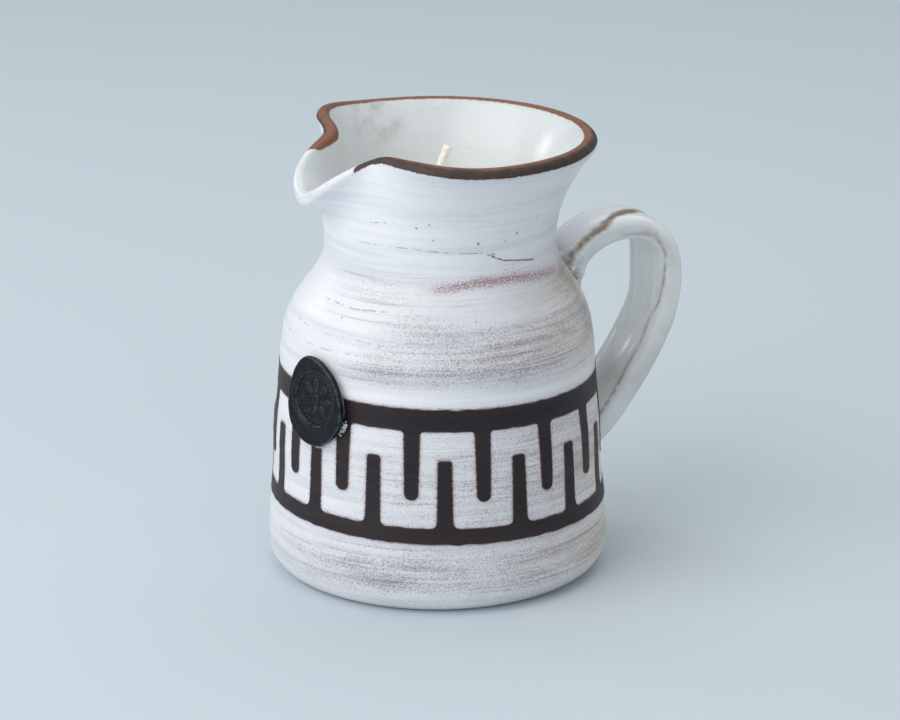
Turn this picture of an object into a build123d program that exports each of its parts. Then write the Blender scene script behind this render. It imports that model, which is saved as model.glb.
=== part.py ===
from build123d import *
import math
import os
import numpy as np

os.makedirs("parts", exist_ok=True)

# A wheel-thrown pouring jug with a pinched spout, filled as a candle.
# Millimetres and degrees. Origin at the centre of the foot, +Z up,
# the spout towards -X and the handle towards +X.

# Thrown body, from the foot to the narrowest place of the neck
foot_radius = 44.4
foot_rise = 8.1
belly_radius = 52.1
neck_radius = 35.1
neck_height = 100.0
wall = 4.8
floor_thickness = 7.0
inner_corner = 9.0
belly_profile_shares = [
    (0.00, 1.000), (0.06, 0.990), (0.13, 0.965), (0.26, 0.900), (0.41, 0.860),
    (0.56, 0.785), (0.69, 0.738), (0.78, 0.630), (0.85, 0.435), (0.91, 0.205),
    (0.96, 0.065), (1.00, 0.000),
]

# Neck set back a little towards the handle
neck_lean = 1.1
lean_spread = 16.0

# Flared mouth, dipped and pinched in to the spout
mouth_radius = 45.6
mouth_height = 132.7
flare_power = 2.1
spout_power = 6.0
spout_power_angle = 25.0
spout_dip = 13.6
spout_dip_angle = 22.0
spout_setback = 3.2
pinch_depth = 12.6
pinch_angle = 35.0
pinch_front_angle = 17.0
pinch_back_angle = 20.0
lip_swell = 1.8
lip_swell_angle = 58.0
lip_swell_spread = 18.0

# Pulled strap handle: its line between the two joints on the wall
handle_reach = 73.8
handle_top_height = 100.5
handle_foot_height = 36.0
handle_width = 24.0
handle_thickness = 8.6
handle_edge_share = 0.38
handle_line_shares = [
    (0.000, 0.729), (0.163, 0.851), (0.380, 0.952), (0.592, 1.000), (0.810, 0.991),
    (0.960, 0.903), (1.000, 0.760), (0.961, 0.590), (0.821, 0.435), (0.604, 0.287),
    (0.345, 0.148), (0.000, 0.000),
]
handle_width_shares = [
    0.84, 0.82, 0.79, 0.79, 0.88, 1.02, 1.10, 1.04, 1.06, 1.06, 1.06, 1.08,
]
handle_thickness_shares = [
    1.02, 1.04, 1.00, 0.98, 0.98, 1.02, 1.06, 0.99, 0.97, 1.00, 1.07, 1.17,
]

# Meander of dark slip: two combs whose fingers interlock
slip_thickness = 0.4
finger_count = 15
finger_width = 4.5
upper_line_top = 63.7
upper_line_bottom = 57.0
upper_finger_end = 35.9
upper_finger_round = 2.0
lower_line_top = 27.6
lower_line_bottom = 22.8
lower_finger_end = 48.6
lower_finger_round = 0.9
lower_finger_angle = -109.9

# Pressed seal and the glue that holds its flat back to the round wall
seal_radius = 13.0
seal_outline_shares = [
    0.82, 0.78, 0.78, 0.82, 0.92, 1.00, 0.93, 0.86, 0.86, 0.94, 1.06, 1.12, 1.11, 1.03, 0.96, 0.90,
]
seal_thickness = 2.0
seal_edge = 0.6
seal_angle = 202.0
seal_height = 62.8
seal_field_radius = 8.2
seal_field_depth = 0.8
seal_petals = 8
seal_petal_length = 4.6
seal_petal_width = 2.1
seal_petal_gap = 0.4
seal_relief = 0.5
seal_boss_radius = 1.5
glue_film = 0.4
glue_spread_share = 0.95
glue_bead_radius = 1.7
glue_bead_angles = [225.0, 247.5, 270.0, 292.5, 315.0, 337.5]

# Candle inside: wax, wick, and the clip and sticker that hold the wick
wax_height = 113.0
wick_radius = 1.25
wick_straight_height = 117.5
wick_bend_radius = 27.0
wick_bend_angle = 30.0
wick_angle = -23.0
clip_radius = 9.0
clip_sheet = 0.4
clip_neck_radius = 2.1
clip_neck_height = 6.0
sticker_radius = 7.5
sticker_thickness = 0.6

# Clearances between pieces
skin_gap = 0.05
fill_gap = 0.10
cut_overrun = 2.0

# How finely the round forms are sampled
ring_points = 60
flare_rings = 8
corner_rings = 4
lip_rings = 3


def smooth_through(stations, values, at):
    """Smooth curve through points: cubics whose slopes are the chords of the neighbours."""
    x = np.asarray(stations, float)
    y = np.asarray(values, float)
    slope = np.gradient(y, x)
    at = np.clip(np.asarray(at, float), x[0], x[-1])
    k = np.clip(np.searchsorted(x, at, side="right") - 1, 0, len(x) - 2)
    step = x[k + 1] - x[k]
    t = (at - x[k]) / step
    start = (1 + 2 * t) * (1 - t) ** 2 * y[k] + t * (1 - t) ** 2 * step * slope[k]
    end = t ** 2 * (3 - 2 * t) * y[k + 1] + t ** 2 * (t - 1) * step * slope[k + 1]
    return start + end


def wall_radius(height):
    """Outer radius of the thrown wall between the rounded foot and the neck."""
    share = (np.asarray(height, float) - foot_rise) / (neck_height - foot_rise)
    rise = [point[0] for point in belly_profile_shares]
    width = [point[1] for point in belly_profile_shares]
    return neck_radius + (belly_radius - neck_radius) * smooth_through(rise, width, share)


def lean_at(height):
    """How far the neck is set back towards the handle at a height."""
    return neck_lean * np.exp(-((height - neck_height) / lean_spread) ** 2)


def bump(angle, middle, spread):
    """Smooth bump of height one around a middle angle."""
    return np.exp(-((angle - middle) / spread) ** 2)


def mouth_at(angle):
    """Radius, height and flare power of the lip's middle, at an angle from the spout."""
    side = abs((angle + 180) % 360 - 180)
    spread = pinch_front_angle if side < pinch_angle else pinch_back_angle
    radius = mouth_radius - pinch_depth * bump(side, pinch_angle, spread)
    radius = radius - spout_setback * bump(side, 0, spout_dip_angle)
    height = mouth_height - spout_dip * bump(side, 0, spout_dip_angle)
    height = height + lip_swell * bump(side, lip_swell_angle, lip_swell_spread)
    power = flare_power + (spout_power - flare_power) * bump(side, 0, spout_power_angle)
    return radius, height, power


def quarter_round(steps):
    """Angles of the inner points of a quarter turn."""
    return [math.radians(90 * step / steps) for step in range(steps + 1)]


def foot_points():
    """Rounded edge from the flat foot to the wall."""
    out = belly_radius - foot_radius
    points = []
    for turn in quarter_round(corner_rings):
        points.append((foot_radius + out * math.sin(turn), foot_rise * (1 - math.cos(turn))))
    return points


def wall_heights(low, high, count):
    """Evenly spread heights above low, up to high."""
    return [low + (high - low) * step / count for step in range(1, count + 1)]


def inner_points():
    """Inner wall from the neck down, round the corner, to the flat floor."""
    corner_top = floor_thickness + inner_corner
    rising = wall_heights(corner_top, neck_height, 2 * flare_rings)
    points = [(wall_radius(height) - wall, height) for height in reversed(rising[:-1])]
    side = wall_radius(corner_top) - wall
    for turn in quarter_round(corner_rings):
        across = side - inner_corner * (1 - math.cos(turn))
        points.append((across, corner_top - inner_corner * math.sin(turn)))
    return points


def flare_points(angle):
    """Middle line of the flared wall and its outward normals, from neck to lip."""
    radius, height, power = mouth_at(angle)
    middle_radius = neck_radius - wall / 2
    share = np.linspace(0, 1, flare_rings + 1)
    across = middle_radius + (radius - middle_radius) * share ** power
    up = neck_height + (height - neck_height) * share
    slope_across = (radius - middle_radius) * power * share ** (power - 1)
    slope_up = np.full_like(share, height - neck_height)
    length = np.hypot(slope_across, slope_up)
    middle = np.stack([across, up], axis=1)
    along = np.stack([slope_across, slope_up], axis=1) / length[:, None]
    normal = np.stack([along[:, 1], -along[:, 0]], axis=1)
    return middle, along, normal


def section_points(angle):
    """Half section of the jug at an angle: up the outside, over the lip, down the inside."""
    half = wall / 2
    middle, along, normal = flare_points(angle)
    points = foot_points()
    rising = wall_heights(foot_rise, neck_height, 2 * flare_rings)
    points += [(wall_radius(height), height) for height in rising]
    points += [tuple(row) for row in middle[1:] + half * normal[1:]]
    for step in range(1, lip_rings + 1):
        turn = math.pi * step / (lip_rings + 1)
        edge = math.cos(turn) * normal[-1] + math.sin(turn) * along[-1]
        points.append(tuple(middle[-1] + half * edge))
    points += [tuple(row) for row in (middle - half * normal)[::-1]]
    points += inner_points()
    return np.array(points)


ring_angles = [360 * step / ring_points - 180 for step in range(ring_points)]
sections = np.array([section_points(angle) for angle in ring_angles])
lip_row = corner_rings + 1 + 2 * flare_rings + flare_rings + (lip_rings - 1) // 2


def place(radius, height, angle):
    """Point in space for a radius and height at an angle from the spout."""
    turn = math.radians(180 - angle)
    across = radius * math.cos(turn) + lean_at(height)
    return Vector(across, radius * math.sin(turn), height)


def ring_wire(radii, heights):
    """Closed smooth ring through one point at each angle."""
    rows = zip(radii, heights, ring_angles)
    points = [place(radius, height, angle) for radius, height, angle in rows]
    return Wire([Edge.make_spline(points, periodic=True)])


def level_ring(height, inside, offset):
    """Level ring on the outer or the inner face of the wall, moved by an offset."""
    radii = []
    for section in sections:
        face = section[lip_row:][::-1] if inside else section[:lip_row + 1]
        radii.append(float(np.interp(height, face[:, 1], face[:, 0])) + offset)
    return ring_wire(radii, [height] * ring_points)


def make_body():
    """Hollow jug: an outer and an inner skin that meet on the lip, with foot and floor."""
    rings = []
    for row in range(sections.shape[1]):
        rings.append(ring_wire(sections[:, row, 0], sections[:, row, 1]))
    outside = Shell.make_loft(rings[:lip_row + 1])
    inside = Shell.make_loft(rings[lip_row:])
    closings = [Face(rings[0]), Face(rings[-1])]
    return Solid(Shell([*outside.faces(), *inside.faces(), *closings]))


def make_envelope(top):
    """Solid filling the jug's outer face up to a level, and round the slip, for trimming."""
    foot = [point[1] for point in foot_points()]
    levels = foot + wall_heights(foot_rise, neck_height, 2 * flare_rings)
    levels += wall_heights(neck_height, top, 2)
    rings = []
    for level in levels:
        offset = skin_gap if level > upper_line_top else 2 * skin_gap + slip_thickness
        rings.append(level_ring(level, False, offset))
    return Solid.make_loft(rings)


def handle_line():
    """Middle line of the handle, tied to the middle of the wall at both joints."""
    points = []
    for reach, rise in handle_line_shares:
        height = handle_foot_height + (handle_top_height - handle_foot_height) * rise
        root = wall_radius(min(height, neck_height)) - wall / 2
        points.append((float(root) * (1 - reach) + handle_reach * reach, height))
    return points


def make_handle(envelope):
    """Strap lofted along its line, trimmed where it meets the wall and the slip."""
    points = handle_line()
    directions = np.gradient(np.array(points), axis=0)
    strap = []
    for point, direction, wide, thick in zip(
        points, directions, handle_width_shares, handle_thickness_shares
    ):
        frame = Plane(
            origin=(point[0], 0, point[1]),
            x_dir=(0, 1, 0),
            z_dir=(direction[0], 0, direction[1]),
        )
        thickness = handle_thickness * thick
        shape = RectangleRounded(handle_width * wide, thickness, thickness * handle_edge_share)
        strap.append(frame * shape)
    return loft(strap) - envelope


def profile_solid(offset, low, high):
    """Round solid inside the wall's outer face, moved by an offset, between two levels."""
    levels = [low] + wall_heights(low, high, flare_rings)
    edge = [(float(wall_radius(level)) + offset, level) for level in levels]
    with BuildPart() as made:
        with BuildSketch(Plane.XZ):
            with BuildLine():
                Spline(*edge)
                Polyline(edge[-1], (0, high), (0, low), edge[0])
            make_face()
        revolve(axis=Axis.Z)
    return made.part


def finger(turn, low, high, rounding, round_low):
    """Radial block for one finger of a comb, with its free end rounded."""
    shape = Rectangle(finger_width, high - low)
    corners = shape.vertices().sort_by(Axis.Y)
    shape = fillet(corners[:2] if round_low else corners[-2:], rounding)
    block = extrude(Plane.XZ * shape, belly_radius + cut_overrun)
    return Rot(0, 0, turn + 90) * Pos(0, 0, (low + high) / 2) * block


def make_comb(line_low, line_high, end, rounding, turn):
    """Slip comb: a line round the belly with evenly spaced fingers."""
    hangs = end < line_low
    low = min(end, line_low)
    high = max(end, line_high)
    middle = (line_low + line_high) / 2
    skin = profile_solid(skin_gap + slip_thickness, low, high) - profile_solid(skin_gap, low, high)
    line = Pos(0, 0, middle) * Cylinder(belly_radius + cut_overrun, line_high - line_low)
    blocks = [line]
    for step in range(finger_count):
        place_turn = turn + 360 * step / finger_count
        span = (end, middle) if hangs else (middle, end)
        blocks.append(finger(place_turn, span[0], span[1], rounding, hangs))
    pattern = blocks[0].fuse(*blocks[1:])
    return skin & pattern


def seal_plane():
    """Plane of the seal's flat back, leaning with the wall and clear of it all the way up."""
    reach = seal_radius / 2
    lower = float(wall_radius(seal_height - reach))
    upper = float(wall_radius(seal_height + reach))
    lean = math.atan2(lower - upper, 2 * reach)
    turn = math.radians(seal_angle)
    out = (math.cos(turn) * math.cos(lean), math.sin(turn) * math.cos(lean), math.sin(lean))
    rise = np.linspace(-seal_radius, seal_radius, ring_points)
    wall_out = wall_radius(seal_height + rise) + rise * math.tan(lean)
    radius = float(wall_out.max()) + skin_gap + slip_thickness + glue_film
    centre = (radius * math.cos(turn), radius * math.sin(turn), seal_height)
    return Plane(origin=centre, x_dir=(-math.sin(turn), math.cos(turn), 0), z_dir=out)


def seal_outline(scale):
    """Uneven outline, as pressed wax spreads: a smooth curve through evenly turned points."""
    points = []
    for step, share in enumerate(seal_outline_shares):
        turn = 2 * math.pi * step / len(seal_outline_shares)
        radius = seal_radius * share * scale
        points.append(Vector(radius * math.cos(turn), radius * math.sin(turn)))
    return make_face(Wire([Edge.make_spline(points, periodic=True)]))


def make_seal():
    """Pressed disc with a sunk round field that holds a plain rosette."""
    disc = extrude(seal_outline(1), seal_thickness)
    front = disc.edges().group_by(Axis.Z)[-1]
    disc = fillet(front, seal_edge)
    field = seal_thickness - seal_field_depth
    disc = disc - Pos(0, 0, field) * Cylinder(
        seal_field_radius, seal_field_depth + cut_overrun, align=(Align.CENTER, Align.CENTER, Align.MIN)
    )
    reach = seal_boss_radius + seal_petal_gap + seal_petal_length / 2
    for step in range(seal_petals):
        petal = extrude(Pos(reach, 0) * Ellipse(seal_petal_length / 2, seal_petal_width / 2), seal_relief)
        disc = disc + Rot(0, 0, 360 * step / seal_petals) * Pos(0, 0, field) * petal
    disc = disc + Pos(0, 0, field) * extrude(Circle(seal_boss_radius), seal_relief)
    return seal_plane() * disc


def make_glue(seal):
    """Glue filling the space behind the seal, squeezed out in beads round its lower edge."""
    depth = seal_radius
    pad = extrude(seal_outline(glue_spread_share), -depth)
    for turn in glue_bead_angles:
        angle = math.radians(turn)
        edge = len(seal_outline_shares) * turn / 360
        share = seal_outline_shares[round(edge) % len(seal_outline_shares)]
        across = seal_radius * share * math.cos(angle)
        up = seal_radius * share * math.sin(angle)
        drop = across ** 2 / (2 * belly_radius)
        pad = pad + Pos(across, up, -drop - glue_film) * Sphere(glue_bead_radius)
    low = seal_height - 2 * seal_radius
    high = seal_height + 2 * seal_radius
    core = profile_solid(2 * skin_gap + slip_thickness, low, high)
    return seal_plane() * pad - core - seal


def make_wick():
    """Cotton wick, straight through the wax and curling over at its tip."""
    foot = floor_thickness + sticker_thickness + clip_sheet
    bend = math.radians(wick_bend_angle)
    half = bend / 2

    def on_bend(turn):
        across = wick_bend_radius * (1 - math.cos(turn))
        return (across, 0, wick_straight_height + wick_bend_radius * math.sin(turn))

    straight = Edge.make_line((0, 0, foot), (0, 0, wick_straight_height))
    curl = Edge.make_three_point_arc(on_bend(0), on_bend(half), on_bend(bend))
    section = Plane(origin=(0, 0, foot)) * Circle(wick_radius)
    return Rot(0, 0, wick_angle) * sweep(section, path=Wire([straight, curl]))


def make_sticker():
    """Adhesive disc between the floor and the wick clip."""
    return Pos(0, 0, floor_thickness + sticker_thickness / 2) * Cylinder(sticker_radius, sticker_thickness)


def make_clip():
    """Pressed metal clip: a round base and a crimped neck round the wick's foot."""
    base = floor_thickness + sticker_thickness
    up = (Align.CENTER, Align.CENTER, Align.MIN)
    plate = Cylinder(clip_radius, clip_sheet, align=up)
    plate = plate + Cylinder(clip_neck_radius, clip_neck_height, align=up)
    bore = Pos(0, 0, clip_sheet) * Cylinder(wick_radius + skin_gap, clip_neck_height, align=up)
    return Pos(0, 0, base) * (plate - bore)


def make_wax():
    """Poured wax filling the jug, with room for the wick, its clip and the sticker."""
    floor = floor_thickness + fill_gap
    corner_top = floor_thickness + inner_corner
    turns = quarter_round(corner_rings)
    low = [corner_top - inner_corner * math.sin(turn) for turn in reversed(turns)]
    levels = [floor] + low[1:] + wall_heights(corner_top, neck_height, 2 * flare_rings)
    levels += wall_heights(neck_height, wax_height, 2)
    fill = Solid.make_loft([level_ring(level, True, -fill_gap) for level in levels])
    up = (Align.CENTER, Align.CENTER, Align.MIN)
    base = floor_thickness + sticker_thickness
    sticker = Cylinder(sticker_radius + skin_gap, base + skin_gap, align=up)
    plate = Cylinder(clip_radius + skin_gap, base + clip_sheet + skin_gap, align=up)
    neck = Cylinder(clip_neck_radius + skin_gap, base + clip_neck_height + skin_gap, align=up)
    bore = Cylinder(wick_radius + skin_gap, wax_height + cut_overrun, align=up)
    return fill - sticker - plate - neck - bore


def write(shape, name):
    """Writes one piece to its own file."""
    export_step(shape, f"parts/{name}.step")


body = make_body()
envelope = make_envelope(handle_top_height + 2 * handle_thickness)
seal = make_seal()
upper_finger_angle = lower_finger_angle + 180 / finger_count

upper_comb = make_comb(
    upper_line_bottom, upper_line_top, upper_finger_end, upper_finger_round, upper_finger_angle
)
lower_comb = make_comb(
    lower_line_bottom, lower_line_top, lower_finger_end, lower_finger_round, lower_finger_angle
)

write(body, "jug_body")
write(upper_comb, "slip_comb_upper")
write(lower_comb, "slip_comb_lower")
write(make_handle(envelope), "handle")
write(seal, "seal")
write(make_glue(seal), "seal_glue")
write(make_wax(), "candle_wax")
write(make_wick(), "wick")
write(make_clip(), "wick_clip")
write(make_sticker(), "clip_sticker")
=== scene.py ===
"""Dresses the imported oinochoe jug: glaze, slip, seal, wax and wick, with floor, lights and camera.

Shapes are worked out in millimetres in the row frame (origin under the foot, +Z up, the
spout towards -X, the handle towards +X) and become metres when they go into a mesh.
Angles called phi are degrees round the axis, counted from the spout.
"""

import logging
import math
from collections.abc import Callable
from dataclasses import dataclass
from enum import Enum
from types import SimpleNamespace

import bmesh
import bpy
import numpy as np
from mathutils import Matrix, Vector

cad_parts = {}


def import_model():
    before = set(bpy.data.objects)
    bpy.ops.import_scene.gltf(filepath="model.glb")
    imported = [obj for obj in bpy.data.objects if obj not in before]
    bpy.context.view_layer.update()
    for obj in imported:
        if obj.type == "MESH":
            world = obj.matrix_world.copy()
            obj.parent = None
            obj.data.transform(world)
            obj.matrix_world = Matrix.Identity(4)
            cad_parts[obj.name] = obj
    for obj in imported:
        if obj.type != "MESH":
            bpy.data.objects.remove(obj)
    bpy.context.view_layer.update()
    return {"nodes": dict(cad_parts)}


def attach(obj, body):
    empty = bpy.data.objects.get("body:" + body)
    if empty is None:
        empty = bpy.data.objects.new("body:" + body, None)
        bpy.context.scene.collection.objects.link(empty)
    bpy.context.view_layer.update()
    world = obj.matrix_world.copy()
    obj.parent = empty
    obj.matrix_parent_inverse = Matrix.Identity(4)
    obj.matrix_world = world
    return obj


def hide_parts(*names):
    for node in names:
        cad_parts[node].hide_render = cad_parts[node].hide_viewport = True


MM = 0.001
FULL_TURN = 360.0
BODY = "root"

Array = np.ndarray
Piece = bpy.types.Object

log = logging.getLogger("jug")


class Slot(Enum):
    """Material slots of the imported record."""

    GLAZE = "glaze"
    SLIP = "slip"
    SEAL = "seal_wax"
    GLUE = "glue"
    CANDLE = "candle"
    COTTON = "cotton"


class Hang(Enum):
    """Which way a comb's fingers point from its line."""

    DOWN = -1
    UP = 1


# Curves and meshes


def smooth_through(stations: list, values: list, at: Array) -> Array:
    """Smooth curve through points: cubics whose slopes are the chords of the neighbours.

    Args:
        stations: where the points lie, rising.
        values: the points' values.
        at: where the curve is wanted; held to the first and last station.

    Returns:
        The curve's value at each place.
    """
    x = np.asarray(stations, float)
    y = np.asarray(values, float)
    slope = np.gradient(y, x)
    at = np.clip(np.asarray(at, float), x[0], x[-1])
    k = np.clip(np.searchsorted(x, at, side="right") - 1, 0, len(x) - 2)
    step = x[k + 1] - x[k]
    t = (at - x[k]) / step
    start = (1 + 2 * t) * (1 - t) ** 2 * y[k] + t * (1 - t) ** 2 * step * slope[k]
    end = t**2 * (3 - 2 * t) * y[k + 1] + t**2 * (t - 1) * step * slope[k + 1]
    return start + end


def bump(at: Array, middle: float, spread: float) -> Array:
    """Smooth bump of height one: e to the minus ((at - middle) / spread) squared."""
    return np.exp(-(((at - middle) / spread) ** 2))


def soft_step(at: Array, low: float, high: float) -> Array:
    """Rises from 0 at low to 1 at high along three t squared minus two t cubed."""
    t = np.clip((at - low) / (high - low), 0.0, 1.0)
    return t * t * (3 - 2 * t)


def waves(across: Array, up: Array, seed: int, pitches: tuple, turns: int) -> Array:
    """Uneven ripples of about unit height: a sum of sines, one per pitch, each slowly turning.

    Args:
        across: degrees round the axis.
        up: distance along the surface, in mm.
        seed: fixes the phases.
        pitches: wavelengths of the sines, in mm.
        turns: the most whole waves that a sine makes in one round.

    Returns:
        The sum of sines of (2 pi up / pitch + whole turns of across + phase), over root count.
    """
    draw = np.random.default_rng(seed)
    total = np.zeros(np.broadcast(across, up).shape)
    for pitch in pitches:
        phase = draw.uniform(0, 2 * math.pi)
        turn = draw.integers(-turns, turns + 1)
        total = total + np.sin(2 * math.pi * up / pitch + np.radians(across) * turn + phase)
    return total / math.sqrt(len(pitches))


def apart(angle: Array, middle: Array) -> Array:
    """Signed degrees from one angle to another, at most half a turn either way."""
    return (angle - middle + FULL_TURN / 2) % FULL_TURN - FULL_TURN / 2


def full_round(count: int) -> Array:
    """Evenly spaced angles of one whole turn, in radians."""
    return np.linspace(0, 2 * math.pi, count, endpoint=False)


def grid_quads(rows: int, columns: int, offset: int = 0, closed: bool = True) -> Array:
    """Quads of a grid, four point numbers a row; if closed, its last column joins its first.

    Args:
        rows: rows of points.
        columns: points in a row.
        offset: number of the first point.
        closed: whether a row is a ring.

    Returns:
        The quads.
    """
    across = np.arange(columns if closed else columns - 1)
    row, column = np.meshgrid(np.arange(rows - 1), across, indexing="ij")
    after = (column + 1) % columns
    corners = [row * columns + column, row * columns + after]
    corners += [(row + 1) * columns + after, (row + 1) * columns + column]
    return np.stack(corners, axis=-1).reshape(-1, 4) + offset


def end_fan(columns: int, first: int, pole: int) -> Array:
    """Triangles from one ring of points to its pole.

    Args:
        columns: points in the ring.
        first: number of the ring's first point.
        pole: number of the pole.

    Returns:
        The triangles.
    """
    column = np.arange(columns)
    after = (column + 1) % columns
    return np.stack([first + column, first + after, np.full(columns, pole)], axis=-1)


def make_object(name: str, points: Array, quads: Array,
                triangles: Array | None = None, marks: dict | None = None) -> Piece:
    """Makes a smooth-shaded object from arrays, with its normals outwards.

    Args:
        name: the piece's name.
        points: point places in mm, one row each.
        quads: point numbers, four a row.
        triangles: point numbers, three a row.
        marks: values for each point, by attribute name.

    Returns:
        The new object, at the origin.
    """
    mesh = bpy.data.meshes.new(name)
    faces = quads.tolist() + ([] if triangles is None else triangles.tolist())
    mesh.from_pydata((points * MM).tolist(), [], faces)
    for key, values in (marks or {}).items():
        layer = mesh.attributes.new(key, "FLOAT", "POINT")
        layer.data.foreach_set("value", np.asarray(values, np.float32).ravel())
    work = bmesh.new()
    work.from_mesh(mesh)
    bmesh.ops.remove_doubles(work, verts=work.verts, dist=MM / 10000)
    bmesh.ops.recalc_face_normals(work, faces=work.faces)
    work.to_mesh(mesh)
    work.free()
    mesh.polygons.foreach_set("use_smooth", np.ones(len(mesh.polygons), bool))
    piece = bpy.data.objects.new(name, mesh)
    bpy.context.scene.collection.objects.link(piece)
    return piece


def closed_skin(name: str, *parts: Array, **marks: Array) -> Piece:
    """Makes one piece from closed skins of rings, with a pole at each end of each.

    Args:
        name: the piece's name.
        parts: places in mm, each shaped (rings, points in a ring, 3).
        marks: values for the ring points of a single skin, by attribute name.

    Returns:
        The new object.
    """
    points, quads, fans, total = [], [], [], 0
    for rings in parts:
        rows, columns, _ = rings.shape
        pole = total + rows * columns
        points += [rings.reshape(-1, 3), rings[[0, -1]].mean(axis=1)]
        quads.append(grid_quads(rows, columns, total))
        fans += [end_fan(columns, total, pole), end_fan(columns, pole - columns, pole + 1)]
        total = pole + 2
    values = {}
    for key, given in marks.items():
        grid = np.broadcast_to(given, parts[0].shape[:2])
        values[key] = np.append(grid, grid[[0, -1]].mean(axis=1))
    return make_object(name, np.concatenate(points), np.concatenate(quads), np.concatenate(fans),
                       values)


def finish_piece(piece: Piece, slot: Slot, material: bpy.types.Material,
                 *nodes: str) -> Piece:
    """Gives a piece its material and body, and hides the CAD nodes that it stands for.

    Args:
        piece: the piece.
        slot: its slot in the record; not used.
        material: its material.
        nodes: the CAD nodes that it replaces.

    Returns:
        The piece.
    """
    piece.data.materials.clear()
    piece.data.materials.append(material)
    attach(piece, BODY)
    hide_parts(*nodes)
    faces = len(piece.data.polygons)
    log.info("%s: %d faces, stands for %s", piece.name, faces, ", ".join(nodes))
    return piece


def edge_modifiers(piece: Piece, thickness: float, edge: float, sharp: float = 50.0) -> None:
    """Gives an open skin its thickness inwards and rounds its rim.

    Args:
        piece: the open skin.
        thickness: its thickness, in mm.
        edge: width of the rounding, in mm.
        sharp: degrees from which an edge is rounded.
    """
    solid = piece.modifiers.new("thickness", "SOLIDIFY")
    solid.thickness = thickness * MM
    solid.offset = -1
    solid.use_even_offset = True
    bevel = piece.modifiers.new("edge", "BEVEL")
    bevel.width = edge * MM
    bevel.segments = 2
    bevel.limit_method = "ANGLE"
    bevel.angle_limit = math.radians(sharp)


# Form of the thrown jug


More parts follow.
